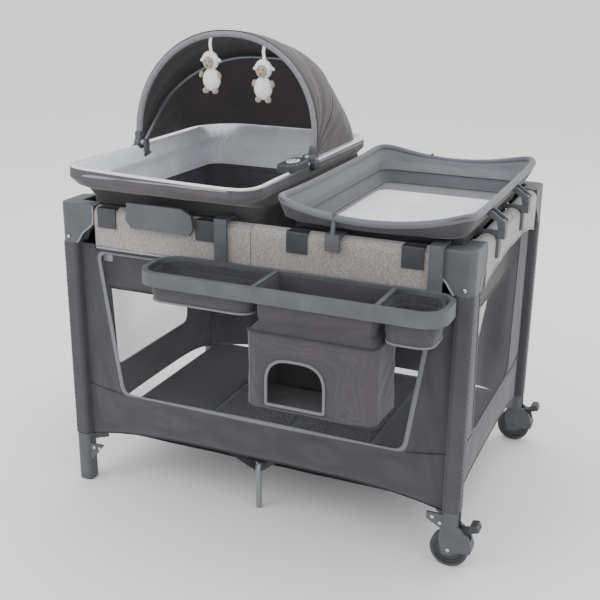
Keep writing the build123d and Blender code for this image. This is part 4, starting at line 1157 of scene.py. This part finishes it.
def addChangerPad():
    x0, x1, y0, y1, z0, z1 = boxOf("changer_pad")

    def place(u, v):
        edge = rectAt((x0, x1, y0, y1), 30 * mm, u)
        middle = Vector(((x0 + x1) / 2, (y0 + y1) / 2))
        spot = middle.lerp(edge, v)
        crown = (z1 - z0 + 4 * mm) * (1 - v ** 7)
        quilt = 1.1 * mm * math.sin(spot.x * 22) * math.sin(spot.y * 19) * (1 - v ** 4)
        return Vector((spot.x, spot.y, z0 + crown + quilt))
    pad = sheetOf("changerPad", 120, 30, place)
    thicken(pad, 1.5 * mm)
    smoothed(pad, 60)
    dress(pad, "changer", whitePadCloth, ("changer_pad",))
    strap = [(0.20, -0.235, 0.733),
             (0.215, -0.25, 0.742),
             (0.24, -0.262, 0.737),
             (0.27, -0.256, 0.733),
             (0.295, -0.272, 0.741),
             (0.32, -0.284, 0.736),
             (0.345, -0.276, 0.732),
             (0.365, -0.288, 0.735)]

    def strapPlace(u, v):
        step = v * (len(strap) - 1)
        low = min(int(step), len(strap) - 2)
        share = step - low
        share = share * share * (3 - 2 * share)
        spot = Vector(strap[low]).lerp(Vector(strap[low + 1]), share)
        return spot + Vector(((u - 0.5) * 6 * mm, (u - 0.5) * 24 * mm,
                              4 * mm * (u - 0.5) * math.sin(v * 9)))
    dress(thicken(sheetOf("safetyStrap", 6, 60, strapPlace), 1.4 * mm, offset=0), "changer",
          whitePadCloth)


addChanger()
addChangerPad()
print("changing table ready")


basket = {"thick": 1.4 * mm, "piping": 2.6 * mm, "corner": 44 * mm, "top": 0.642, "pipingTop": 0.6195}
bandX0, bandX1, bandY0, bandY1, bandZ0, bandZ1 = boxOf("organizer_frame")
bandY1 = bandY0 + 0.140
stackX0, stackX1, stackY0, stackY1, stackZ0, stackZ1 = boxOf("diaper_stacker")


def addBasket(side, x0, x1, floor, stands):
    y0, y1, top = bandY0 + 13 * mm, bandY1 - 13 * mm, basket["top"]
    rect = (x0, x1, y0, y1)
    corner = basket["corner"]
    levels = [(rect, corner, top),
              (shrunk(rect, 1 * mm), corner, floor + 24 * mm),
              (shrunk(rect, 6 * mm), 34 * mm, floor + 5 * mm),
              (shrunk(rect, 13 * mm), 28 * mm, floor),
              (ridgeOf(rect), 0.01 * mm, floor - 1 * mm)]
    shell = thicken(shellOf(f"basket_{side}", levels, 120, 26), basket["thick"])
    smoothed(shell, 60)
    dress(shell, "organizer", basketNetting, stands)
    ring = [(*rectAt(shrunk(rect, 5 * mm), 36 * mm, t / 64), floor + 4 * mm) for t in range(64)]
    pipings = [cordOf("piping", ring, basket["piping"], closed=True)]
    pipings.append(cordOf("piping",
                          [(*rectAt(shrunk(rect, -1 * mm), corner, t / 64),
                            basket["pipingTop"]) for t in range(64)],
                          basket["piping"], closed=True))
    dress(joinAll(f"basketPiping_{side}", pipings), "organizer", bindingTape)


stacker = {"thick": 2.0 * mm, "doorX": (0.112, 0.243), "doorZ": (0.400, 0.504), "waist": 0.560}


def addStacker():
    upperX = (stackX0 + 18 * mm, stackX1 - 18 * mm)
    upperY = (bandY0 + 13 * mm, bandY1 - 13 * mm)
    upper = [((*upperX, *upperY), 8 * mm, 0.645),
             ((*upperX, *upperY), 10 * mm, 0.60),
             ((upperX[0] + 2 * mm, upperX[1] - 2 * mm, upperY[0] + 1 * mm, upperY[1]), 12 * mm, 0.575),
             ((stackX0 + 4 * mm, stackX1 - 4 * mm, stackY0 + 3 * mm, stackY1), 18 * mm, 0.558)]

    def crumple(spot, u, v):
        fold = 2.2 * mm * ripple(u + v * 0.15, ((9, 0.5, 0.9), (17, 0.5, 0.1))) * v
        return spot + Vector((0, fold, 0.6 * fold))
    top = thicken(shellOf("stackerSleeve", upper, 160, 24, crumple), stacker["thick"])
    smoothed(top, 60)
    dress(top, "organizer", stackerCloth, ("diaper_stacker",))
    low, high = stackZ0, stacker["waist"]
    boxRect = (stackX0, stackX1, stackY0, stackY1)
    lowDoor, highDoor = stacker["doorX"]
    bottomDoor, topDoor = stacker["doorZ"]
    door = [(lowDoor, bottomDoor), (highDoor, bottomDoor), (highDoor, topDoor), (lowDoor, topDoor)]
    front = [(stackX0 + 12 * mm, low + 2 * mm),
             (stackX1 - 12 * mm, low + 2 * mm),
             (stackX1 - 12 * mm, high - 2 * mm),
             (stackX0 + 12 * mm, high - 2 * mm)]

    def doorAt(u):
        radius = 52 * mm if u > 0.5 else 5 * mm
        return outlineAt(door, radius, u)

    def frontPlace(u, v):
        spot = outlineAt(front, 3 * mm, u).lerp(doorAt(u), v)
        slack = ripple(spot.x * 3 + spot.y * 5, ((3, 0.5, 0.2), (5, 0.4, 1.2)))
        bulge = 5 * mm * math.sin(math.pi * v) + 2.0 * mm * slack
        push = bulge * math.sin(math.pi * min(1, v * 1.2 + 0.02))
        return Vector((spot.x, stackY0 + 3 * mm - push, spot.y))
    panel = thicken(sheetOf("stackerFront", 140, 14, frontPlace), stacker["thick"])
    smoothed(panel, 60)
    dress(panel, "organizer", stackerCloth)
    wrap = [(stackX0 + 13 * mm, stackY0 + 3 * mm),
            (stackX0 + 2 * mm, stackY0 + 14 * mm),
            (stackX0, stackY1 - 14 * mm),
            (stackX0 + 12 * mm, stackY1),
            (stackX1 - 12 * mm, stackY1),
            (stackX1, stackY1 - 14 * mm),
            (stackX1 - 2 * mm, stackY0 + 14 * mm),
            (stackX1 - 13 * mm, stackY0 + 3 * mm)]

    def wrapPlace(u, v):
        step = u * (len(wrap) - 1)
        index = min(int(step), len(wrap) - 2)
        a, b = Vector(wrap[index]), Vector(wrap[index + 1])
        spot = a.lerp(b, step - index)
        middle = Vector(((stackX0 + stackX1) / 2, (stackY0 + stackY1) / 2))
        fold = ripple(u + v * 0.3, ((4, 0.5, 0.4), (7, 0.5, 1.6)))
        dent = 4 * mm * fold * math.sin(math.pi * v) * math.sin(math.pi * u)
        spot += (middle - spot).normalized() * abs(dent)
        return Vector((spot.x, spot.y, low + 2 * mm + (high - low - 4 * mm) * v))
    around = thicken(sheetOf("stackerSides", 84, 24, wrapPlace), stacker["thick"])
    smoothed(around, 50)
    dress(around, "organizer", stackerCloth)

    def basePlace(u, v):
        edge = rectAt(shrunk(boxRect, 3 * mm), 18 * mm, u)
        middle = Vector(((stackX0 + stackX1) / 2, (stackY0 + stackY1) / 2))
        spot = middle.lerp(edge, v)
        return Vector((spot.x, spot.y, low + 2 * mm - 1.5 * mm * (1 - v)))
    dress(thicken(sheetOf("stackerBase", 96, 10, basePlace), stacker["thick"]), "organizer", stackerCloth)

    def lidPlace(u, v):
        edge = rectAt(shrunk(boxRect, 4 * mm), 18 * mm, u)
        inner = rectAt((upperX[0] + 4 * mm, upperX[1] - 4 * mm, upperY[0] + 3 * mm, upperY[1] - 3 * mm),
                       12 * mm, u)
        spot = edge.lerp(inner, v)
        return Vector((spot.x, spot.y, high - 2 * mm + 3 * mm * v))
    dress(thicken(sheetOf("stackerShoulder", 96, 6, lidPlace), stacker["thick"]), "organizer",
          stackerCloth)
    ring = [Vector((doorAt(t / 60).x, stackY0 + 1.5 * mm, doorAt(t / 60).y)) for t in range(60)]
    dress(cordOf("doorBinding", ring, 3.4 * mm, closed=True), "organizer", bindingTape)
    pipings = []
    for z, radius in ((high, 2.4 * mm), (low + 3 * mm, 2.0 * mm)):
        edge = [(*rectAt(shrunk(boxRect, 1.5 * mm), 18 * mm, t / 72), z) for t in range(72)]
        pipings.append(cordOf("seam", edge, radius, closed=True))
    dress(joinAll("stackerPiping", pipings), "organizer", darkCloth)


addBasket("left", -0.186, 0.069, 0.577, ("organizer_baskets",))
addBasket("right", 0.350, 0.461, 0.566, ())
addStacker()
print("organizer ready")


def addStraps():
    straps = []
    for sign in (-1, 1):
        start = Vector((-12 * mm + sign * 8 * mm, -0.300, 0.112))
        end = Vector((-12 * mm + sign * 62 * mm, -0.332, 0.162))

        def place(u, v, start=start, end=end):
            spot = start.lerp(end, v)
            return spot + Vector((0, (u - 0.5) * 6 * mm, (u - 0.5) * 18 * mm))
        straps.append(thicken(sheetOf("strap", 4, 12, place), 1.8 * mm, offset=0))
    piece = joinAll("legStraps", straps)
    dress(piece, "centre_leg_front", darkCloth)


addStraps()
print("all pieces ready")
